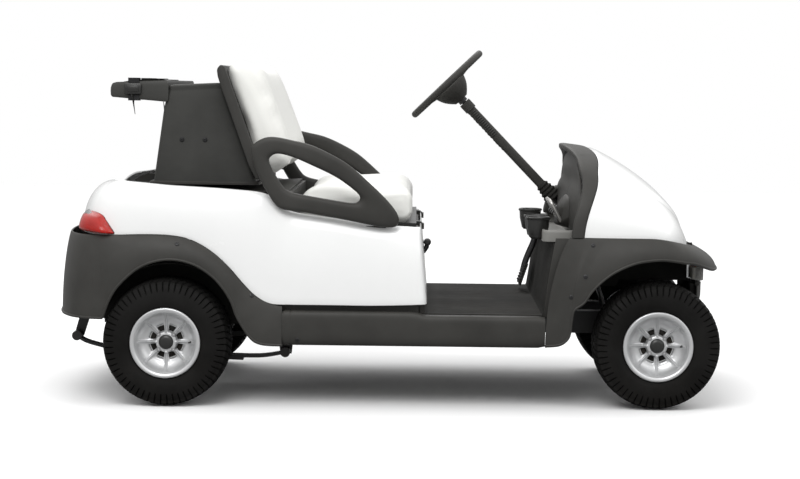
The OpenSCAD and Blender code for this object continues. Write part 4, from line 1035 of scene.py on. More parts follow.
def seat_seams(p, n):
    """Seams near both sides and the front edge, a split in the middle and soft dimples in the top."""
    side = bump_at(np.abs(p[:, 1]), CUSHION_W - 30, 3.0)
    middle = bump_at(p[:, 1], 0, 4.0) * smooth(n[:, 2], 0.2, 0.7)
    front = bump_at(p[:, 2], BASE_Z + 40, 2.6) * smooth(n[:, 0], 0.5, 0.8)
    dish = 6.0 * bump_at(np.abs(p[:, 1]), 235, 120) * bump_at(p[:, 0], SEAT_FRONT - 240,
                                                              120) * smooth(n[:, 2], 0.6, 0.9)
    folds = 0.7 * np.sin(p[:, 1] * 0.045 + np.sin(p[:, 0] * 0.03) * 2) * smooth(n[:, 0], 0.2, 0.7)
    return 2.6 * np.clip(side + middle + front, 0, 1) + dish + folds


def back_seams(p, n):
    """Seam round the front face of the backrest, and two sewn channels that follow it further in."""
    q = to_back(p)
    across = np.abs(q[:, 1])
    face = smooth(q[:, 0], 30, 60)
    rim = bump_at(across, CUSHION_W - 16 - 3.0 * np.sin(q[:, 2] / 100), 3.0) * face
    bow = CUSHION_W - 92 - 24 * ((q[:, 2] - 205) / 205) ** 2
    channel = bump_at(across, bow, 5.0) * smooth(q[:, 0], 60, 90) * smooth(q[:, 2], 20, 60)
    middle = bump_at(across, 0, 4.0) * smooth(q[:, 0], 60, 90)
    side_fold = 0.8 * bump_at(q[:, 0], 52, 16) * (across > CUSHION_W - 20)
    return 2.4 * np.clip(rim, 0, 1) + 3.2 * np.clip(channel, 0, 1) + 2.2 * middle + side_fold


def cushion(name, shape, seams, body, node, cap):
    """A padded piece swelled as cloth, with its seams pressed in afterwards."""
    obj = piece(name, *shape, body, "vinyl", [node], sharp=180)
    inflate(obj, cap)
    pressed(obj, seams)
    dress(obj, "vinyl")
    return obj


def seat_form():
    """Rounded block for the seat whose top falls by 12 mm to the back."""
    v, f = round_box([SEAT_FRONT - 420, -CUSHION_W + 9, BASE_Z + 20],
                     [SEAT_FRONT - 7, CUSHION_W - 9, BASE_Z + 129], 36, arc=6)
    v[:, 2] -= 14 * smooth(-v[:, 0], -SEAT_FRONT + 220, -SEAT_FRONT + 420) * (v[:, 2] > BASE_Z + 60)
    return v, f


def back_form():
    """Rounded block for the backrest, thinner at the top, its front crowned along the width."""
    n = 26
    ys = np.linspace(-CUSHION_W + 10, CUSHION_W - 10, 61)
    rings = []
    for y in ys:
        edge = min(1.0, (CUSHION_W - 10 - abs(y)) / 34)
        pull = 30 * (1 - math.sqrt(max(0, 1 - (1 - edge) ** 2)))
        front = 96 + 16 * (1 - (y / CUSHION_W) ** 2)
        side = [[12 + 0.3 * pull, 10 + pull], [front - 18, 8 + pull], [front - pull, 34 + pull],
                [front - pull, 200],
                [front - 6 - pull, 330 - pull], [front - 26 - pull, 396 - pull], [front - 56, 414 - pull],
                [24 + 0.3 * pull, 412 - pull], [12 + 0.3 * pull, 396 - pull], [12 + 0.3 * pull, 200]]
        loop = spaced(spline(side, 6, True), 4 * n, True)
        rings.append(np.stack([loop[:, 0], np.full(4 * n, y), loop[:, 1]], 1))
    v, f = stacked(rings)
    return along_back(v), f


def stacked(rings):
    """Points and faces of closed rings joined one after the other, with both ends closed."""
    v = np.stack(rings)
    m, n = v.shape[:2]
    f = list(grid_quads(m, n, close_v=True))
    f += [list(range(n))[::-1], [(m - 1) * n + i for i in range(n)]]
    return v.reshape(-1, 3), f


def rect_ring(x0, x1, y0, y1, r, z, k=5):
    """Rounded rectangle in plan at a height, 4 (k + 1) points; z is a number or a function of x, y."""
    out = []
    for cx, cy, a0 in ((x1 - r, y1 - r, 0), (x0 + r, y1 - r, 90), (x0 + r, y0 + r, 180),
                       (x1 - r, y0 + r, 270)):
        a = np.radians(np.linspace(a0, a0 + 90, k + 1))
        out.append(np.stack([cx + r * np.cos(a), cy + r * np.sin(a)], 1))
    p = np.concatenate(out)
    h = z(p[:, 0], p[:, 1]) if callable(z) else np.full(len(p), float(z))
    return np.c_[p, h]


cushion("seat_pad", seat_form(), seat_seams, "seat", "seat_cushion", 22)
cushion("back_pad", back_form(), back_seams, "chassis", "backrest_cushion", 22)

# ---- seat shell, restraints, basket and bag rack ----------------------------------------

BACK_L = math.hypot(382, 138)


def back_shell():
    """Thin black shell behind the backrest, its rims rounded."""
    outline = np.vstack([[[5.5, 8], [5.5, BACK_L - 6]], spline([[0, BACK_L + 2], [-8, BACK_L + 4],
                                                                [-22, BACK_L - 6], [-28, BACK_L - 30]], 4),
                         [[-29, BACK_L - 60], [-29, 60], [-22, 6]]])
    v, f = side_plate(outline[::-1], -CUSHION_W - 1, CUSHION_W + 1, 5.0, 4)
    return along_back(v), f


obj = piece("backrest_back", *back_shell(), "chassis", "black_plastic", ["backrest_shell"])
dress(obj, "black")

HIP_Y = BODY_W - 12
HIP_OUT = np.array([[283, 869], [297, 893], [331, 911], [368, 913], [420, 903], [480, 889], [545, 861],
                    [614, 821], [685, 760], [747, 700], [777, 660], [783, 634], [773, 615], [748, 612],
                    [700, 618],
                    [592, 639], [474, 659], [392, 670], [363, 690], [338, 728], [313, 772], [293, 820]],
                    float)
HIP_IN = np.array([[344, 835], [356, 852], [380, 857], [427, 845], [493, 817], [565, 783], [620, 746],
                   [650, 718], [645, 700], [620, 695], [520, 710], [440, 724], [406, 735], [389, 751],
                   [370, 779],
                   [354, 806]], float)


def restraint(sign):
    """Hip restraint: a closed loop whose section is a squared oval between an outer and an inner line.

    The two lines are paired by the angle at which they are seen from the middle of the hole, and
    the section is signed cosine to 0.5 across and signed sine to 0.6 in thickness.
    """
    mid = np.array([480, 775.0])
    outer, inner = spline(HIP_OUT, 14, True), spline(HIP_IN, 18, True)
    a = np.linspace(-np.pi, np.pi, 241)[:-1]

    def seen(line):
        ang = np.arctan2(line[:, 1] - mid[1], (line[:, 0] - mid[0]) * 0.55)
        k = np.argsort(ang)
        ang, line = ang[k], line[k]
        return np.stack([np.interp(a, ang, line[:, c], period=2 * np.pi) for c in (0, 1)], 1)

    o, i = seen(outer), seen(inner)
    for _ in range(2):
        o, i = [(np.roll(q, 1, 0) + 2 * q + np.roll(q, -1, 0)) / 4 for q in (o, i)]
    th = np.arange(28) * 2 * np.pi / 28
    cx = np.sign(np.cos(th)) * np.abs(np.cos(th)) ** 0.55
    cy = np.sign(np.sin(th)) * np.abs(np.sin(th)) ** 0.62
    mid_line, half = (o + i) / 2, (o - i) / 2
    xz = mid_line[:, None] + half[:, None] * cx[None, :, None]
    thick = 21 - 2.2 * bump_at(cx, 0.25, 0.14)
    y = sign * (HIP_Y + (thick * cy)[None, :]) + 0 * xz[..., 0]
    v = np.stack([RA + xz[..., 0], y, xz[..., 1]], -1).reshape(-1, 3)
    return v, list(grid_quads(len(a), len(th), close_u=True, close_v=True))


for side, sign in (("left", 1), ("right", -1)):
    y_in, y_out = sign * (CUSHION_W + 6), sign * (HIP_Y - 18)
    foot = round_box([RA + 660, min(y_in, y_out), BASE_Z + 0.4], [RA + 740, max(y_in, y_out), BASE_Z + 9],
                     3)
    boss = tube([[RA + 322, sign * (CUSHION_W + 4), 775], [RA + 322, sign * (HIP_Y - 14), 775]], 14, 24,
                up=(1, 0, 0))
    obj = piece("restraint_" + side, *joined(restraint(sign), foot, boss), "chassis", "black_plastic",
                ["armrests"] if side == "left" else (), sharp=40)
    dress(obj, "black")

BIN_W = 400.0
BIN_BACK = np.array([[-66, 741], [-64, 749], [-27, 1020], [-10, 1078]], float)
DECK_Z = 742.0


def behind_back(z):
    """Rear face of the backrest shell at a height, from the rear axle."""
    return 318 - 30 / math.sin(math.pi / 2 + abs(BACK_TURN)) + (z - 768) * (180 - 318) / (1150 - 768)


def bin_ring(z, inset, r):
    """Outline of the basket at a height, moved in by inset; the rim's height rises to the front."""
    x0 = float(np.interp(z, BIN_BACK[:, 1], BIN_BACK[:, 0])) + inset
    x1 = behind_back(z) - 1.0 - inset
    rim = (lambda x, y: z + 0 * x) if z < 1060 else (lambda x, y: z + 9 * smooth(x, RA - 10, RA + 60))
    return rect_ring(RA + x0, RA + x1, -BIN_W + inset, BIN_W - inset, r, rim)


def basket_shell():
    """Open bin: rings up the outside, over a rolled lip and down the inside to its floor."""
    out = [bin_ring(z, 0, 16) for z in (DECK_Z + 2, 760, 800, 850, 900, 950, 1000, 1040, 1060)]
    lip = [bin_ring(z, i, 16) for z, i in ((1066, 0.5), (1072, -2), (1078, -2), (1082, 1), (1083, 5),
                                           (1080, 8))]
    inside = [bin_ring(z, 8, 12) for z in (1060, 1000, 950, 900, 850, 836)] + [bin_ring(831, 16, 10)]
    base = [bin_ring(DECK_Z + 1, 0, 16)]
    return stacked(base + out + lip + inside)


skirt = stacked([rect_ring(RA - 78, RA + 302, -BIN_W - 12, BIN_W + 12, 20, z) for z in (744, 751)]
                + [rect_ring(RA - 75, RA + 300, -BIN_W - 9, BIN_W + 9, 18, 754),
                   rect_ring(RA - 60, RA + 290, -BIN_W + 4, BIN_W - 4, 12, 755)])
bolts = [screw_head((RA + x, s * (BIN_W + 0.5), 897), (0, s, 0), 8, 4) for x in (34, 113) for s in (-1, 1)]
obj = piece("basket_bin", *basket_shell(), "chassis", "black_plastic", ["basket"])
dress(obj, "bin")
obj = piece("basket_skirt", *skirt, "chassis", "black_plastic")
dress(obj, "black")
obj = piece("basket_bolts", *joined(*bolts), "chassis", "dark_steel")
dress(obj, "dark_steel")

HOLDER_X = np.array([-213.0, -207, -198, -150, -94, -60, -12])
HOLDER_TOP = np.array([1078.0, 1086, 1090, 1097, 1103, 1102, 1098])
HOLDER_LOW = np.array([1041.0, 1040, 1039, 1037.5, 1034, 1030, 1024])
BAG_R, BAG_Y, BAG_X = 118.0, 196.0, -172.0


def rack_plate():
    """Bag rack: a plan outline with two round bays, its top and underside following two curves."""
    right = [[-12, -406], [-190, -406], [-207, -400], [-213, -388], [-213, -(BAG_Y + BAG_R) - 6],
             [-208, -(BAG_Y + BAG_R)], [BAG_X, -(BAG_Y + BAG_R)]]
    bay = [[BAG_X + BAG_R * math.sin(a), -BAG_Y - BAG_R * math.cos(a)] for a in np.linspace(0.12,
                                                                                            math.pi - 0.12,
                                                                                            22)]
    rest = [[BAG_X, -(BAG_Y - BAG_R)], [-208, -(BAG_Y - BAG_R)], [-213, -(BAG_Y - BAG_R) + 6], [-213, -30]]
    half = np.array(right + bay + rest, float)
    outline = np.vstack([half, half[::-1] * [1, -1]]) + [RA, 0]
    v, f = slab(outline, 20, 7, arc=4)
    x = v[:, 0] - RA
    t = (v[:, 2] + 10) / 20
    low, top = np.interp(x, HOLDER_X, HOLDER_LOW), np.interp(x, HOLDER_X, HOLDER_TOP)
    v[:, 2] = mix(low, top, t)
    return v, f


obj = piece("bag_rack", *rack_plate(), "chassis", "black_plastic", ["bag_holder"], sharp=40)
dress(obj, "bin")


def strap_loop(y):
    """Flat webbing round an arm of the bag rack: a squared ring 38 mm wide, 2 mm thick."""
    x0, x1 = RA - 150, RA - 112
    ring = np.array([[y - 17, 1030], [y + 17, 1030], [y + 19, 1034], [y + 19, 1100], [y + 17, 1104.5],
                     [y - 17, 1104.5], [y - 19, 1100], [y - 19, 1034]], float)
    p = spaced(spline(ring, 4, True), 64, True)
    c = p.mean(0)
    inner = c + (p - c) * 0.965
    rings = [np.c_[np.full(64, x), q] for x, q in ((x0 + 1, inner), (x0, p), (x1, p), (x1 - 1, inner))]
    v = np.stack(rings)
    return v.reshape(-1, 3), list(grid_quads(4, 64, close_u=True, close_v=True))


straps, buckles = [], []
for y in (-388, -BAG_Y + BAG_R + 22, BAG_Y - BAG_R - 22, 388):
    straps.append(strap_loop(y))
for s in (-1, 1):
    y = s * 408
    buckles += [round_box([RA - 162, min(y, y + s * 9), 1050], [RA - 104, max(y, y + s * 9), 1088], 4),
                round_box([RA - 152, min(y + s * 8, y + s * 12), 1058],
                          [RA - 114, max(y + s * 8, y + s * 12), 1080], 2),
                tube([[RA - 133, s * 409, 1052], [RA - 131, s * 411, 1020], [RA - 126, s * 410, 985]], 9, 8,
                     flat=0.14)]
obj = piece("bag_straps", *joined(*straps), "chassis", "black_plastic", sharp=45)
dress(obj, "webbing")
obj = piece("bag_buckles", *joined(*buckles), "chassis", "black_plastic")
dress(obj, "black_smooth")

# ---- sills, floor and wheel wells --------------------------------------------------------

FLOOR_Z = 312.0
FLOOR_W = SILL_W - 46
KICK_LOW = RA + 871
TOE_X = FA - 384


def sill(sign):
    """Moulded sill: one section carried along x, its top lower beside the cabin, pressed in at two seams."""
    w = SILL_W
    sect = np.array([[-FLOOR_W - 1, 308], [-FLOOR_W - 1, 318], [-w + 22, 318.6], [-w + 9, 316],
                     [-w + 2, 306], [-w, 284], [-w + 1.5, 246], [-w + 7, 224],
                     [-w + 18, 213.5], [-w + 32, 213], [-w + 32, 219], [-w + 20, 220],
                     [-w + 12, 232], [-w + 6.5, 262], [-w + 6, 290], [-w + 14, 309]])
    loop = spaced(spline(sect, 8, True), 96, True)
    x0, x1 = RA + 392.5, FA - 385.5
    seams = (RA + 398, RA + 420)
    beside = [s + d for s in seams for d in (-3, -1.6, -0.8, 0.8, 1.6, 3)]
    xs = np.unique(np.r_[np.linspace(x0, x1, 40), beside])
    rings = []
    for x in xs:
        press = 2.4 * sum(float(bump_at(x, s, 1.3)) for s in seams)
        lift = 11 * (1 - float(smooth(x, KICK_LOW - 40, KICK_LOW + 6))) * smooth(loop[:, 1], 240, 316)
        end = 5 * (bump_at(x, x0, 3) + bump_at(x, x1, 3))
        c = loop.mean(0)
        q = loop.copy()
        q[:, 1] += lift
        q = c + (q - c) * (1 - (press + float(end)) / 60)
        rings.append(np.stack([np.full(len(q), x), -sign * q[:, 0], q[:, 1]], 1))
    v, f = stacked(rings)
    return v, f


for side, sign in (("left", 1), ("right", -1)):
    flap = [[FA - 391, FLOOR_Z + 3], [FA - 296, FLOOR_Z + 3], [FA - 268, 470], [FA - 252, 583],
            [FA - 352, 583], [FA - 372, 470]]
    flap = side_plate(np.array(flap, float), min(sign * 534, sign * 540), max(sign * 534, sign * 540), 2.0)
    strip = round_box([RA + 394, min(sign * 533, sign * 540), 316],
                      [KICK_LOW - 18, max(sign * 533, sign * 540), 384], 2.5)
    obj = piece("sill_" + side, *joined(sill(sign), strip, flap), "chassis", "black_plastic",
                ["rocker_panels"] if side == "left" else (), sharp=40)
    dress(obj, "black")


def floor_mat():
    """Floor and toe board as one wall 12 mm thick with lengthwise ribs.

    The height over the plain floor is a squared sine of y, 1.6 mm high, faded out at the edges.
    """
    toe = [[RA + 863, FLOOR_Z], [TOE_X - 12, FLOOR_Z], [TOE_X - 3, FLOOR_Z + 3], [TOE_X + 2, FLOOR_Z + 14],
           [FA - 344, 560]]
    line = np.vstack([spaced(toe[:2], 8), spaced(toe[1:4], 5)[1:], spaced(toe[3:], 12)[1:]])
    y = np.linspace(-FLOOR_W + 1, FLOOR_W - 1, 481)
    wave = smooth(np.sin(y * 2 * np.pi / 22), -0.2, 0.35) * 1.6 * (1 - smooth(np.abs(y), FLOOR_W - 26,
                                                                              FLOOR_W - 18))
    n = unit(np.stack([-np.gradient(line[:, 1]), np.gradient(line[:, 0])], 1))
    s = smooth(np.arange(len(line)), 0.5, 2.0)
    xz = line[:, None] + n[:, None] * (wave[None] * s[:, None])[..., None]
    g = np.stack([xz[..., 0], np.broadcast_to(y, xz.shape[:2]), xz[..., 1]], -1)
    return rounded_shell(g, 11.0, arc=2)


obj = piece("floor_mat", *floor_mat(), "chassis", "mat", ["floor_pan"], sharp=50)
dress(obj, "rubber")


def wall_x(x0, x1, y, z_low, z_top):
    """Thin upright splash wall along x whose lower edge follows z_low(x)."""
    xs = np.linspace(x0, x1, 40)
    g = np.stack([np.stack([xs, np.full(40, y), mix(z_low(xs), z_top(xs), t)], 1) for t in np.linspace(0, 1,
                                                                                                       6)],
                                                                                                       1)
    return rounded_shell(g, 2.5, arc=2, out_sign=1)


def rear_well(sign):
    """Rear wheel well: a roof bent round the axle over the tyre and a splash wall on its inner side."""
    a = np.radians(np.linspace(22, 158, 40))
    ys = np.linspace(378, 556, 8)
    roof = np.stack([np.stack([RA + 14 + 262 * np.cos(a), np.full(40, sign * y),
                               AXLE_Z + 268 * np.sin(a) + 6 * (y < 400)], 1)
                     for y in ys], 1)
    low = lambda x: np.where(np.abs(x - RA) < 100, 305.0, 262.0)
    top = lambda x: AXLE_Z + 268 * np.sqrt(np.clip(1 - ((x - RA - 14) / 262) ** 2, 0.02, 1)) + 3
    return joined(rounded_shell(roof, 2.5, arc=2), wall_x(RA - 235, RA + 262, sign * 376, low, top))


def front_well(sign):
    """Splash wall inside the front wheel well, above the suspension and clear of the turned tyre."""
    low = lambda x: np.where(x < FA - 110, 392.0, 416.0)
    top = lambda x: 548 + 0 * x
    return wall_x(FA - 300, FA + 152, sign * 203, low, top)


obj = piece("rear_wells", *joined(rear_well(1), rear_well(-1)), "chassis", "black_plastic")
dress(obj, "rubber")
obj = piece("front_wells", *joined(front_well(1), front_well(-1)), "chassis", "black_plastic")
dress(obj, "rubber")

# ---- dash, steering column and pedals ----------------------------------------------------

DASH_X = FA - 276
TRAY_X = FA - 392
TRAY_Z = 566.0


def hoop_row(grow, k=60):
    """Cross section of the cowl's rear edge grown by a distance, as (y, z) points."""
    return cowl_row(-240, 872, float(plan_y(-240, NOSE_W - 36, NOSE_S, 160, NOSE_N)), 585.5, grow, k)


def bulkhead():
    """Dash panel under the hoop: rows from its rim inward that bulge 26 mm to the rear."""
    rim = hoop_row(-17)
    mid = np.array([0, 0, 640.0])
    rows = []
    for t in np.linspace(1, 0.02, 18):
        q = mid + (rim - mid) * t
        q[:, 0] = DASH_X + 8 - 26 * smooth(1 - t, 0.0, 0.35) + 14 * bump_at(q[:, 2], 770, 30) * (t < 0.9)
        rows.append(q)
    return rounded_shell(np.stack(rows), 5.0, arc=2, out_sign=None)


def tray():
    """Dash tray: a long open box with rounded lips."""
    rings = [rect_ring(TRAY_X, DASH_X - 1, -470, 470, 26, z) for z in (TRAY_Z, TRAY_Z + 30)]
    rings += [rect_ring(TRAY_X + i, DASH_X - 1 - i, -470 + i, 470 - i, 26 - i, z)
              for z, i in ((TRAY_Z + 37, 1.5), (TRAY_Z + 39, 4), (TRAY_Z + 38, 8), (TRAY_Z + 34, 10),
                           (TRAY_Z + 14, 11))]
    rings.append(rect_ring(TRAY_X + 20, DASH_X - 21, -460, 460, 12, TRAY_Z + 9))
    return stacked([rect_ring(TRAY_X + 6, DASH_X - 7, -464, 464, 22, TRAY_Z - 2)] + rings)


def cup(y, r=36.0):
    """Cup holder: a turned ring whose wall flares into a rolled lip."""
    prof = [[0, 4], [r - 7, 4], [r - 5, 8], [r - 1, 50], [r - 0.5, 68], [r + 1, 73], [r + 4, 75],
            [r + 7, 73],
            [r + 7, 68], [r + 3.5, 65], [r + 2, 40], [r - 5, 10], [r - 12, -1], [0, -1]]
    return placed(lathe(prof, 64), (TRAY_X - 12, y, TRAY_Z + 4))


obj = piece("dash_tray", *tray(), "chassis", "grey_plastic", ["dash"], sharp=40)
dress(obj, "grey")
obj = piece("dash_panel", *bulkhead(), "chassis", "black_plastic", sharp=50)
dress(obj, "black")
obj = piece("cup_holders", *joined(*[cup(y) for y in (-372, -262, 110)]), "chassis", "black_plastic",
            sharp=40)
dress(obj, "black_smooth")


def bezel(y0, y1):
    """Bright switch panel on the dash: a rounded slab that leans back."""
    o = rect_ring(-46, 46, y0, y1, 18, 0, 6)[:, :2]
    v, f = slab(o, 12, 5)
    a = math.radians(62)
    x, z = v[:, 0] * -math.cos(a) - v[:, 2] * math.sin(a), v[:, 0] * math.sin(a) - v[:, 2] * math.cos(a)
    return np.stack([DASH_X - 62 + x, v[:, 1], 659 + z], 1), f


def dash_pod(y0, y1):
    """Bulging housing on the dash: rings along y of a rounded wedge that shrink to its ends."""
    rings = []
    for t in np.linspace(-1, 1, 25):
        k = (1 - abs(t) ** 4) ** 0.35
        prof = np.array([[8, 606], [-52, 608], [-62, 622], [-46, 680], [-26, 708], [-8, 716], [8, 700]],
                        float)
        loop = spaced(spline(prof, 5, True), 40, True)
        c = np.array([0, 655.0])
        q = c + (loop - c) * max(0.3, k)
        rings.append(np.stack([DASH_X + 2 + q[:, 0], np.full(40, mix(y0, y1, (t + 1) / 2)), q[:, 1]], 1))
    return stacked(rings)


obj = piece("dash_pods", *joined(dash_pod(-330, -80), dash_pod(395, 480)), "chassis", "black_plastic",
            sharp=60)
dress(obj, "black")
obj = piece("dash_bezel", *bezel(-316, -94), "chassis", "machined", sharp=40)
dress(obj, "bezel")
dials = [placed(lathe([[0, 4], [15, 4], [17, 2.5], [18, 0], [0, 0]], 36), (DASH_X - 66, y, 664),
                (-math.sin(math.radians(62)), 0, math.cos(math.radians(62)))) for y in (-285, -205, -125)]
obj = piece("dash_switches", *joined(*dials), "chassis", "black_plastic")
dress(obj, "black_smooth")

STEER = np.array([FA - 714, 290.0, 1098.0])
SLOPE = math.radians(46)
UP_COLUMN = np.array([-math.cos(SLOPE), 0, math.sin(SLOPE)])


def on_column(part):
    """A shape with +Z up the steering axis, its origin at the wheel's centre."""
    return placed(part, STEER, UP_COLUMN, (math.sin(SLOPE), 0, math.cos(SLOPE)))


def steering_rim():
    """Grip ring: an oval tube whose thickness swells at finger ribs on its underside."""
    n, m = 360, 20
    a = np.arange(n) * 2 * np.pi / n
    th = np.arange(m) * 2 * np.pi / m
    rib = 0.8 * np.abs(np.sin(a * 36))[:, None] * smooth(-np.sin(th), 0.1, 0.7)[None]
    r = 12.2 + rib
    rr = 165 + r * np.cos(th)[None]
    v = np.stack([rr * np.cos(a)[:, None], rr * np.sin(a)[:, None], 1.0 * r * np.sin(th)[None]], -1)
    return v.reshape(-1, 3), list(grid_quads(n, m, close_u=True, close_v=True))


def spoke(deg):
    """Steering wheel spoke: rounded bar from the pod up to the rim, wider at the pod."""
    rings = []
    for t in np.linspace(0, 1, 12):
        r = mix(38, 158, t)
        w, h = mix(24, 14, t), mix(8, 4.5, t)
        z = mix(-13, 0, t * t * (3 - 2 * t))
        th = np.arange(20) * 2 * np.pi / 20
        y = w * np.sign(np.cos(th)) * np.abs(np.cos(th)) ** 0.7
        q = z + h * np.sign(np.sin(th)) * np.abs(np.sin(th)) ** 0.7
        rings.append(np.stack([np.full(20, r), y, q], 1))
    v, f = stacked(rings)
    c, s = math.cos(math.radians(deg)), math.sin(math.radians(deg))
    return np.stack([v[:, 0] * c - v[:, 1] * s, v[:, 0] * s + v[:, 1] * c, v[:, 2]], 1), f


pod = lathe(spline([[0, -2], [34, -3], [60, -7], [68, -14], [67, -24], [57, -46], [43, -64], [31, -76],
                    [25, -80], [0, -80]], 5), 72)
shaft = lathe([[0, -70], [17.5, -70], [17.5, -93], [9, -94], [9, -688], [0, -688]], 32)
collar = lathe([[0, -660], [13.8, -660], [13.8, -689], [0, -690]], 32)
obj = piece("steering_wheel_piece", *on_column(joined(steering_rim(), pod,
                                                      *[spoke(d) for d in (-10, 90, 190)])),
            "steering", "black_plastic", sharp=45)
dress(obj, "black")
obj = piece("steering_shaft", *on_column(joined(shaft, collar)), "steering", "machined", ["steering_wheel"])
dress(obj, "dark_steel")


foot_at = (DASH_X - 0.3 - STEER[0] - 40 * math.sin(SLOPE)) / math.cos(SLOPE)


def column_cover():
    """Column cover: a squared tube with lengthwise ribs below; the bellows boot at its foot is made apart
    from it.

    That boot's radius is a straight taper plus 2.2 mm times the sine of its length.
    """
    z = np.r_[np.linspace(-96, -132, 5), np.linspace(-134, 62 - foot_at, 70)]
    th = np.arange(40) * 2 * np.pi / 40
    rings = []
    for h in z:
        r = 22.5 if h > -133 else 17.5
        sq = r / (np.abs(np.cos(th)) ** 3.2 + np.abs(np.sin(th)) ** 3.2) ** (1 / 3.2)
        rib = 1.6 * (np.sin(h * 2 * np.pi / 9) > 0) * smooth(-np.cos(th), 0.5,
                                                             0.8) * (h < -133) * (h > -330)
        rr = sq + rib
        rings.append(np.stack([rr * np.cos(th), rr * np.sin(th), np.full(40, h)], 1))
    v, f = stacked(rings[::-1])
    return v, f


bell_z = np.linspace(-foot_at, -foot_at + 72, 40)
bell_r = mix(36, 21, (bell_z + foot_at) / 72) + 2.2 * np.sin((bell_z + foot_at) * 2 * np.pi / 15)
boot = lathe(np.vstack([[[0, -foot_at]], np.c_[bell_r, bell_z], [[0, -foot_at + 72]]]), 64)
obj = piece("column_cover", *on_column(column_cover()), "chassis", "black_plastic", ["steering_column"],
            sharp=40)
dress(obj, "black")
obj = piece("column_boot", *on_column(boot), "chassis", "black_plastic", sharp=60)
dress(obj, "rubber")
clip = [round_box([-9, -20, -146 - 9 * k], [9, 20, -141 - 9 * k], 1.5) for k in range(14)]
obj = piece("column_ribs", *on_column(joined(*clip)), "chassis", "black_plastic")
dress(obj, "black_smooth")


def pedal(y):
    """Pedal: a bent arm from the toe board and a ribbed rubber pad."""
    arm_line = spline([[FA - 372, 534], [FA - 382, 500], [FA - 398, 462], [FA - 410, 430], [FA - 418, 398]],
                      8)
    arm = tube(np.c_[arm_line[:, 0], np.full(len(arm_line), y), arm_line[:, 1]], 8, 14, flat=0.8,
               up=(0, 1, 0))
    pads = []
    low, high = np.array([FA - 436, 350.0]), np.array([FA - 409, 430.0])
    go = (high - low) / np.linalg.norm(high - low)
    out = np.array([-go[1], go[0]])
    base = [low, high, high - out * 8, low - out * 8]
    pads.append(side_plate(np.array(base), y - 36, y + 36, 3.0))
    for k in range(7):
        c = low + go * (8 + 11 * k)
        rib = [c, c + go * 6, c + go * 6 + out * 4.5, c + out * 4.5]
        pads.append(side_plate(np.array(rib), y - 33, y + 33, 1.8, 2))
    return arm, pads


arms, pads = zip(*[pedal(y) for y in (250, 345)])
obj = piece("pedal_arms", *joined(*arms), "chassis", "dark_steel", ["pedals"])
dress(obj, "dark_steel")
obj = piece("pedal_pads", *joined(*[p for group_ in pads for p in group_]), "chassis", "mat", sharp=40)
dress(obj, "rubber")
plate = round_box([TOE_X - 118, 200, FLOOR_Z + 2.2], [TOE_X - 4, 395, FLOOR_Z + 7], 2)
obj = piece("pedal_plate", *plate, "chassis", "machined")
dress(obj, "machined")

# ---- kick panel controls ----------------------------------------------------------------

KICK_HIGH = RA + 848


def kick_at(z):
    """Place in x of the kick panel's face at a height."""
    return KICK_LOW + (KICK_HIGH - KICK_LOW) * (z - FLOOR_Z) / (BASE_Z - FLOOR_Z)


def selector():
    """Direction selector: a round-cornered plate, a stubby lever and its knob."""
    lean = math.atan2(KICK_LOW - KICK_HIGH, BASE_Z - FLOOR_Z)
    o = rect_ring(-40, 40, -30, 30, 14, 0, 6)[:, :2]
    v, f = slab(o, 12, 4)
    c, s = math.cos(lean), math.sin(lean)
    base = np.stack([kick_at(495) + 8 + v[:, 2] * c - v[:, 0] * s, v[:, 1],
                     495 + v[:, 0] * c + v[:, 2] * s], 1), f
    lever = tube([[kick_at(490) + 10, 0, 490], [kick_at(490) + 22, 0, 506], [KICK_HIGH + 35, 0, 524]],
                 [10, 9, 8], 18, up=(0, 1, 0))
    knob = lathe(spline([[0, -16], [9, -15], [13, -9], [13, 9], [9, 15], [0, 16]], 5), 36)
    return joined(base, lever, placed(knob, (KICK_HIGH + 34, 0, 524), (0, 1, 0)))


obj = piece("selector", *selector(), "chassis", "black_plastic", ["direction_selector"], sharp=40)
dress(obj, "black_smooth")
kick_strip = side_plate(np.array([[KICK_LOW - 6, FLOOR_Z + 2], [KICK_LOW + 3.5, FLOOR_Z + 2],
                                  [KICK_LOW + 2, 353], [KICK_LOW - 6, 353]]),
                        -FLOOR_W + 2, FLOOR_W - 2, 1.5, 2)
obj = piece("kick_strip", *kick_strip, "chassis", "black_plastic")
dress(obj, "black")

# ---- lamps -------------------------------------------------------------------------------

def skin_point(deg, z, grow):
    """Point of the rear body's skin at a plan angle and a height, grown outward."""
    f = np.sin(np.pi / 2 * ((750 - z) / (750 - 579)) ** (1 / 1.85))
    u = plan_at(deg, BODY_W - BODY_ROLL + grow, BODY_S, BODY_TOP_TIP - grow, CORNER)
    l = plan_at(deg, BODY_W + grow, BODY_S, BODY_TIP - grow, CORNER)
    p = mix(u, l, f[..., None])
    return np.concatenate([p, z[..., None]], -1)


def lamp(bottom, height, grow, first, last, power=6.0):
    """Tail lamp: patch of the body's skin between two plan angles, its face pushed out and rounded off.

    The push is 1 minus the edge distances to the sixth power in both directions, times grow.
    """
    i, j = np.meshgrid(np.linspace(0, 1, 41), np.linspace(0, 1, 25), indexing="ij")
    rim = spline([[first, bottom + 3], [first + 7, mix(bottom, height, 0.55)],
                  [first + 15, mix(bottom, height, 0.84)],
                  [last, height]], 10)
    t = np.linspace(0, 1, len(rim))
    z = mix(bottom, np.interp(i, t, rim[:, 1]), j)
    deg = mix(mix(first, last, i), np.interp(i, t, rim[:, 0]), j)
    push = (1 - 0.96 * np.abs(2 * i - 1) ** power) * (1 - 0.9 * np.abs(2 * j - 1) ** power) * (1 - 0.42
                                                                                               * j ** 3)
    outer = skin_point(deg, z, grow * push)
    inner = skin_point(deg, z, 0.8)
    return outer, inner


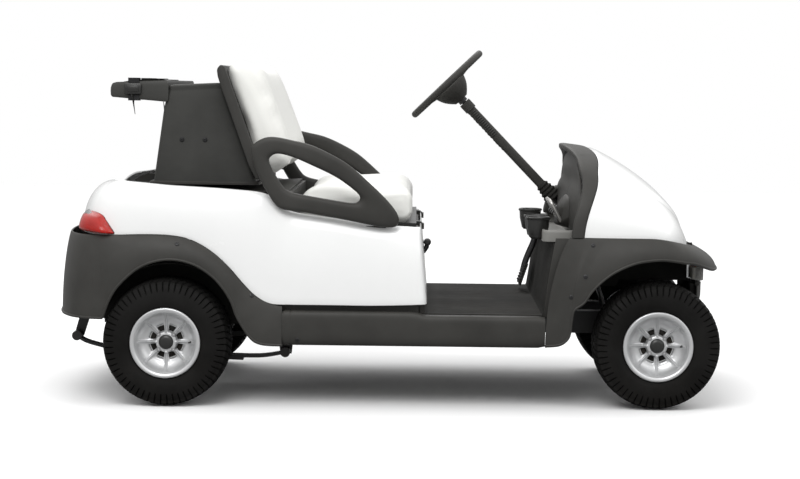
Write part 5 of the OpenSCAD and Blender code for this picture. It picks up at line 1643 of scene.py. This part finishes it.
def closed_patch(outer, inner):
    """Outer and inner grid of a lens joined round their rims."""
    nu, nv = outer.shape[:2]
    v = np.concatenate([outer.reshape(-1, 3), inner.reshape(-1, 3)])
    f = list(grid_quads(nu, nv)) + list(grid_quads(nu, nv, start=nu * nv)[:, ::-1])
    ring = list(range(nv)) + [i * nv + nv - 1 for i in range(1, nu)] \
        + [(nu - 1) * nv + j for j in range(nv - 2, -1, -1)] + [i * nv for i in range(nu - 2, 0, -1)]
    k = len(ring)
    f += [[ring[q], ring[(q + 1) % k], ring[(q + 1) % k] + nu * nv, ring[q] + nu * nv] for q in range(k)]
    return v, f


outer, inner = lamp(582, 660, 44, 10.5, 50)
gasket_out, gasket_in = lamp(580, 664, 8, 9.3, 51, 14)
obj = piece("tail_lamps", *mirrored_pair(*closed_patch(outer, inner)), "chassis", "red_lens",
            ["taillights"], sharp=40)
dress(obj, "red_lens", "clear_lens")
paint_faces(obj, 1, lambda c: (c[:, 2] > 645) & (c[:, 0] < -1030))
obj = piece("tail_lamp_gaskets", *mirrored_pair(*closed_patch(gasket_out, gasket_in)), "chassis",
            "black_plastic", sharp=40)
dress(obj, "black_smooth")


def headlight():
    """Corner lamp: a plan outline carried up with rounded rims, fluted on its outer faces."""
    plan = np.array([[128, -262], [172, -262], [178, -270], [179, -300], [172, -348], [162, -366],
                     [148, -366], [134, -300]], float)
    loop = spaced(spline(plan, 6, True), 160, True)
    flute = 0.9 * np.sin(np.arange(160) * 2 * np.pi / 160 * 40)
    c = loop.mean(0)
    out = c + (loop - c) * (1 + flute / 40)[:, None] * 0.98
    rings = [np.c_[c + (out - c) * k, np.full(160, z)] for z, k in
             ((429, 0.9), (429.5, 0.97), (432, 1), (452, 1.0), (474, 1), (477, 0.97), (477.6, 0.9))]
    return stacked([r + [FA, 0, 0] for r in rings])


def reflector():
    """Pale body inside the lamp with rounded corners."""
    return stacked([rect_ring(FA + 134, FA + 169, -352, -272, 8, z) for z in (433, 473)])


def bumper():
    """Lower front panel: a shell bowed in plan and leaning back, over a bar with rounded ends."""
    y = np.linspace(-204, 204, 60)
    z = np.linspace(402, 268, 16)
    bow = FA + 200 - 26 * (y / 204) ** 4
    g = np.stack([np.stack([bow - 22 * smooth(402 - h, 40, 134), y * (1 - 0.12 * (402 - h) / 134),
                            np.full(60, h)], 1)
                  for h in z])
    bar = round_box([FA + 150, -300, 405], [FA + 168, 300, 427], 5)
    blocks = [round_box([FA + 150, s * 165 - 14, 330], [FA + 182, s * 165 + 14, 406], 4) for s in (-1, 1)]
    return joined(rounded_shell(g, 6.0), bar, *blocks)


obj = piece("front_bumper_panel", *bumper(), "chassis", "black_plastic", ["front_bumper"], sharp=50)
dress(obj, "black")


obj = piece("headlight_lenses", *mirrored_pair(*headlight()), "chassis", "clear_lens", ["headlights"],
            sharp=40)
dress(obj, "clear_lens")
obj = piece("headlight_reflectors", *mirrored_pair(*reflector()), "chassis", "rim")
dress(obj, "tank", "amber")
paint_faces(obj, 1, lambda c: (c[:, 2] > 460) & (c[:, 0] > FA + 150))

# ---- fixings -----------------------------------------------------------------------------

SCREWS = ((FA - 228, 562), (FA - 253, 457), (FA - 300, 388), (RA + 445, 232), (RA + 40, 552),
          (RA + 290, 380),
          (RA - 190, 330))


def on_skin(x, z, s, reach=640.0):
    """Point and normal where a ray from the side meets the shown skins."""
    deps = bpy.context.evaluated_depsgraph_get()
    hit, at, normal, _, _, _ = bpy.context.scene.ray_cast(deps, Vector((x * MM, s * reach * MM, z * MM)),
                                                          Vector((0, -s, 0)))
    return (np.array(at) / MM, np.array(normal)) if hit else (None, None)


heads = []
for x, z in SCREWS:
    for s in (-1, 1):
        at, n = on_skin(x, z, s)
        if at is not None and abs(at[1]) > 480:
            heads.append(screw_head(at, n if n @ [0, s, 0] > 0 else -n, 7.5, 2.6))
obj = piece("body_screws", *joined(*heads), "chassis", "dark_steel")
dress(obj, "dark_steel")

# ---- CAD pieces that stay ------------------------------------------------------------------

FINISH = {
    "frame_rails": "dark_steel", "seat_base": "black", "seat_pan": "black_smooth",
    "bag_well": "black", "lower_shaft": "machined", "steering_rack": "machined", "tie_rods": "machined",
    "front_suspension": "dark_steel", "shock_absorbers": "dark_steel", "knuckle_left": "cast",
    "knuckle_right": "cast", "rear_axle": "cast", "leaf_springs": "dark_steel", "engine_block": "cast",
    "fuel_tank": "tank", "battery": "black_smooth",
}
for name, finish in FINISH.items():
    data = nodes[name].data
    for k in range(len(data.materials)):
        data.materials[k] = MAT[finish]

# ---- floor, light and camera ------------------------------------------------------------

def studio():
    """Pale floor, a pale even sky, a large soft key above the near side and a fill in front."""
    mesh = bpy.data.meshes.new("floor")
    s = 14.0
    mesh.from_pydata([(-s, -s, 0), (s, -s, 0), (s, s, 0), (-s, s, 0)], [], [(0, 1, 2, 3)])
    floor = bpy.data.objects.new("studio_floor", mesh)
    bpy.context.scene.collection.objects.link(floor)
    m = bpy.data.materials.new("studio_floor")
    m.use_nodes = True
    net = Net(m.node_tree)
    shader = m.node_tree.nodes["Principled BSDF"]
    pale = net.ramp(net.noise(object_coords(net), 0.6, 3.0), 0.3, 0.7, 0.90, 0.92)
    tone = net.ramp(net.add("ShaderNodeLightPath").outputs["Is Camera Ray"], 0.0, 1.0, 0.30, pale)
    net.put(shader.inputs["Base Color"], net.add("ShaderNodeCombineColor", Red=tone, Green=tone,
                                                 Blue=tone).outputs[0])
    shader.inputs["Roughness"].default_value = 0.85
    mesh.materials.append(m)
    floor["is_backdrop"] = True
    world = bpy.data.worlds.new("studio")
    bpy.context.scene.world = world
    world.use_nodes = True
    sky = Net(world.node_tree)
    high = sky.add("ShaderNodeSeparateXYZ",
                   Vector=sky.add("ShaderNodeTexCoord").outputs["Generated"]).outputs[2]
    glow = sky.ramp(high, -0.1, 0.9, 0.42, 1.35)
    seen = sky.add("ShaderNodeLightPath").outputs["Is Camera Ray"]
    sky.put(world.node_tree.nodes["Background"].inputs[1], sky.math("MAXIMUM", seen, glow))
    world.node_tree.nodes["Background"].inputs[0].default_value = (1.0, 1.0, 1.0, 1)
    for name, at, size, power in (("key", (-1.0, -4.5, 4.5), 3.0, 150), ("fill", (4.5, -2.5, 3.0), 3.0, 30),
                                  ("back", (-1.0, 4.5, 4.5), 4.0, 70)):
        light = bpy.data.lights.new(name, "AREA")
        light.energy, light.size = power, size
        obj = bpy.data.objects.new(name, light)
        obj.location = at
        obj.rotation_euler = (Vector((0, 0, 0.5)) - Vector(at)).to_track_quat("-Z", "Y").to_euler()
        bpy.context.scene.collection.objects.link(obj)


def place_camera(at, yaw, pitch, roll, lens_mm):
    """Camera that looks along +Y, turned right by yaw, down by pitch and rolled, in degrees."""
    yaw, pitch, roll = map(math.radians, (yaw, pitch, roll))
    forward = Vector((math.sin(yaw) * math.cos(pitch), math.cos(yaw) * math.cos(pitch), -math.sin(pitch)))
    right = Vector((math.cos(yaw), -math.sin(yaw), 0))
    up = right.cross(forward)
    r2 = right * math.cos(roll) + up * math.sin(roll)
    u2 = -right * math.sin(roll) + up * math.cos(roll)
    data = bpy.data.cameras.new("camera")
    data.lens, data.sensor_width = lens_mm, 36.0
    data.clip_end = 60
    cam = bpy.data.objects.new("camera", data)
    m = Matrix((r2, u2, -forward)).transposed().to_4x4()
    m.translation = Vector(at)
    cam.matrix_world = m
    bpy.context.scene.collection.objects.link(cam)
    bpy.context.scene.camera = cam


studio()
bpy.context.scene.view_settings.view_transform = "Standard"
place_camera((0.070, -7.363, 1.088), -0.44, 4.32, 0.66, 91.4)

low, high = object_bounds()
{"cad": [list(cad_box[0]), list(cad_box[1])], "visual": [list(low), list(high)]}
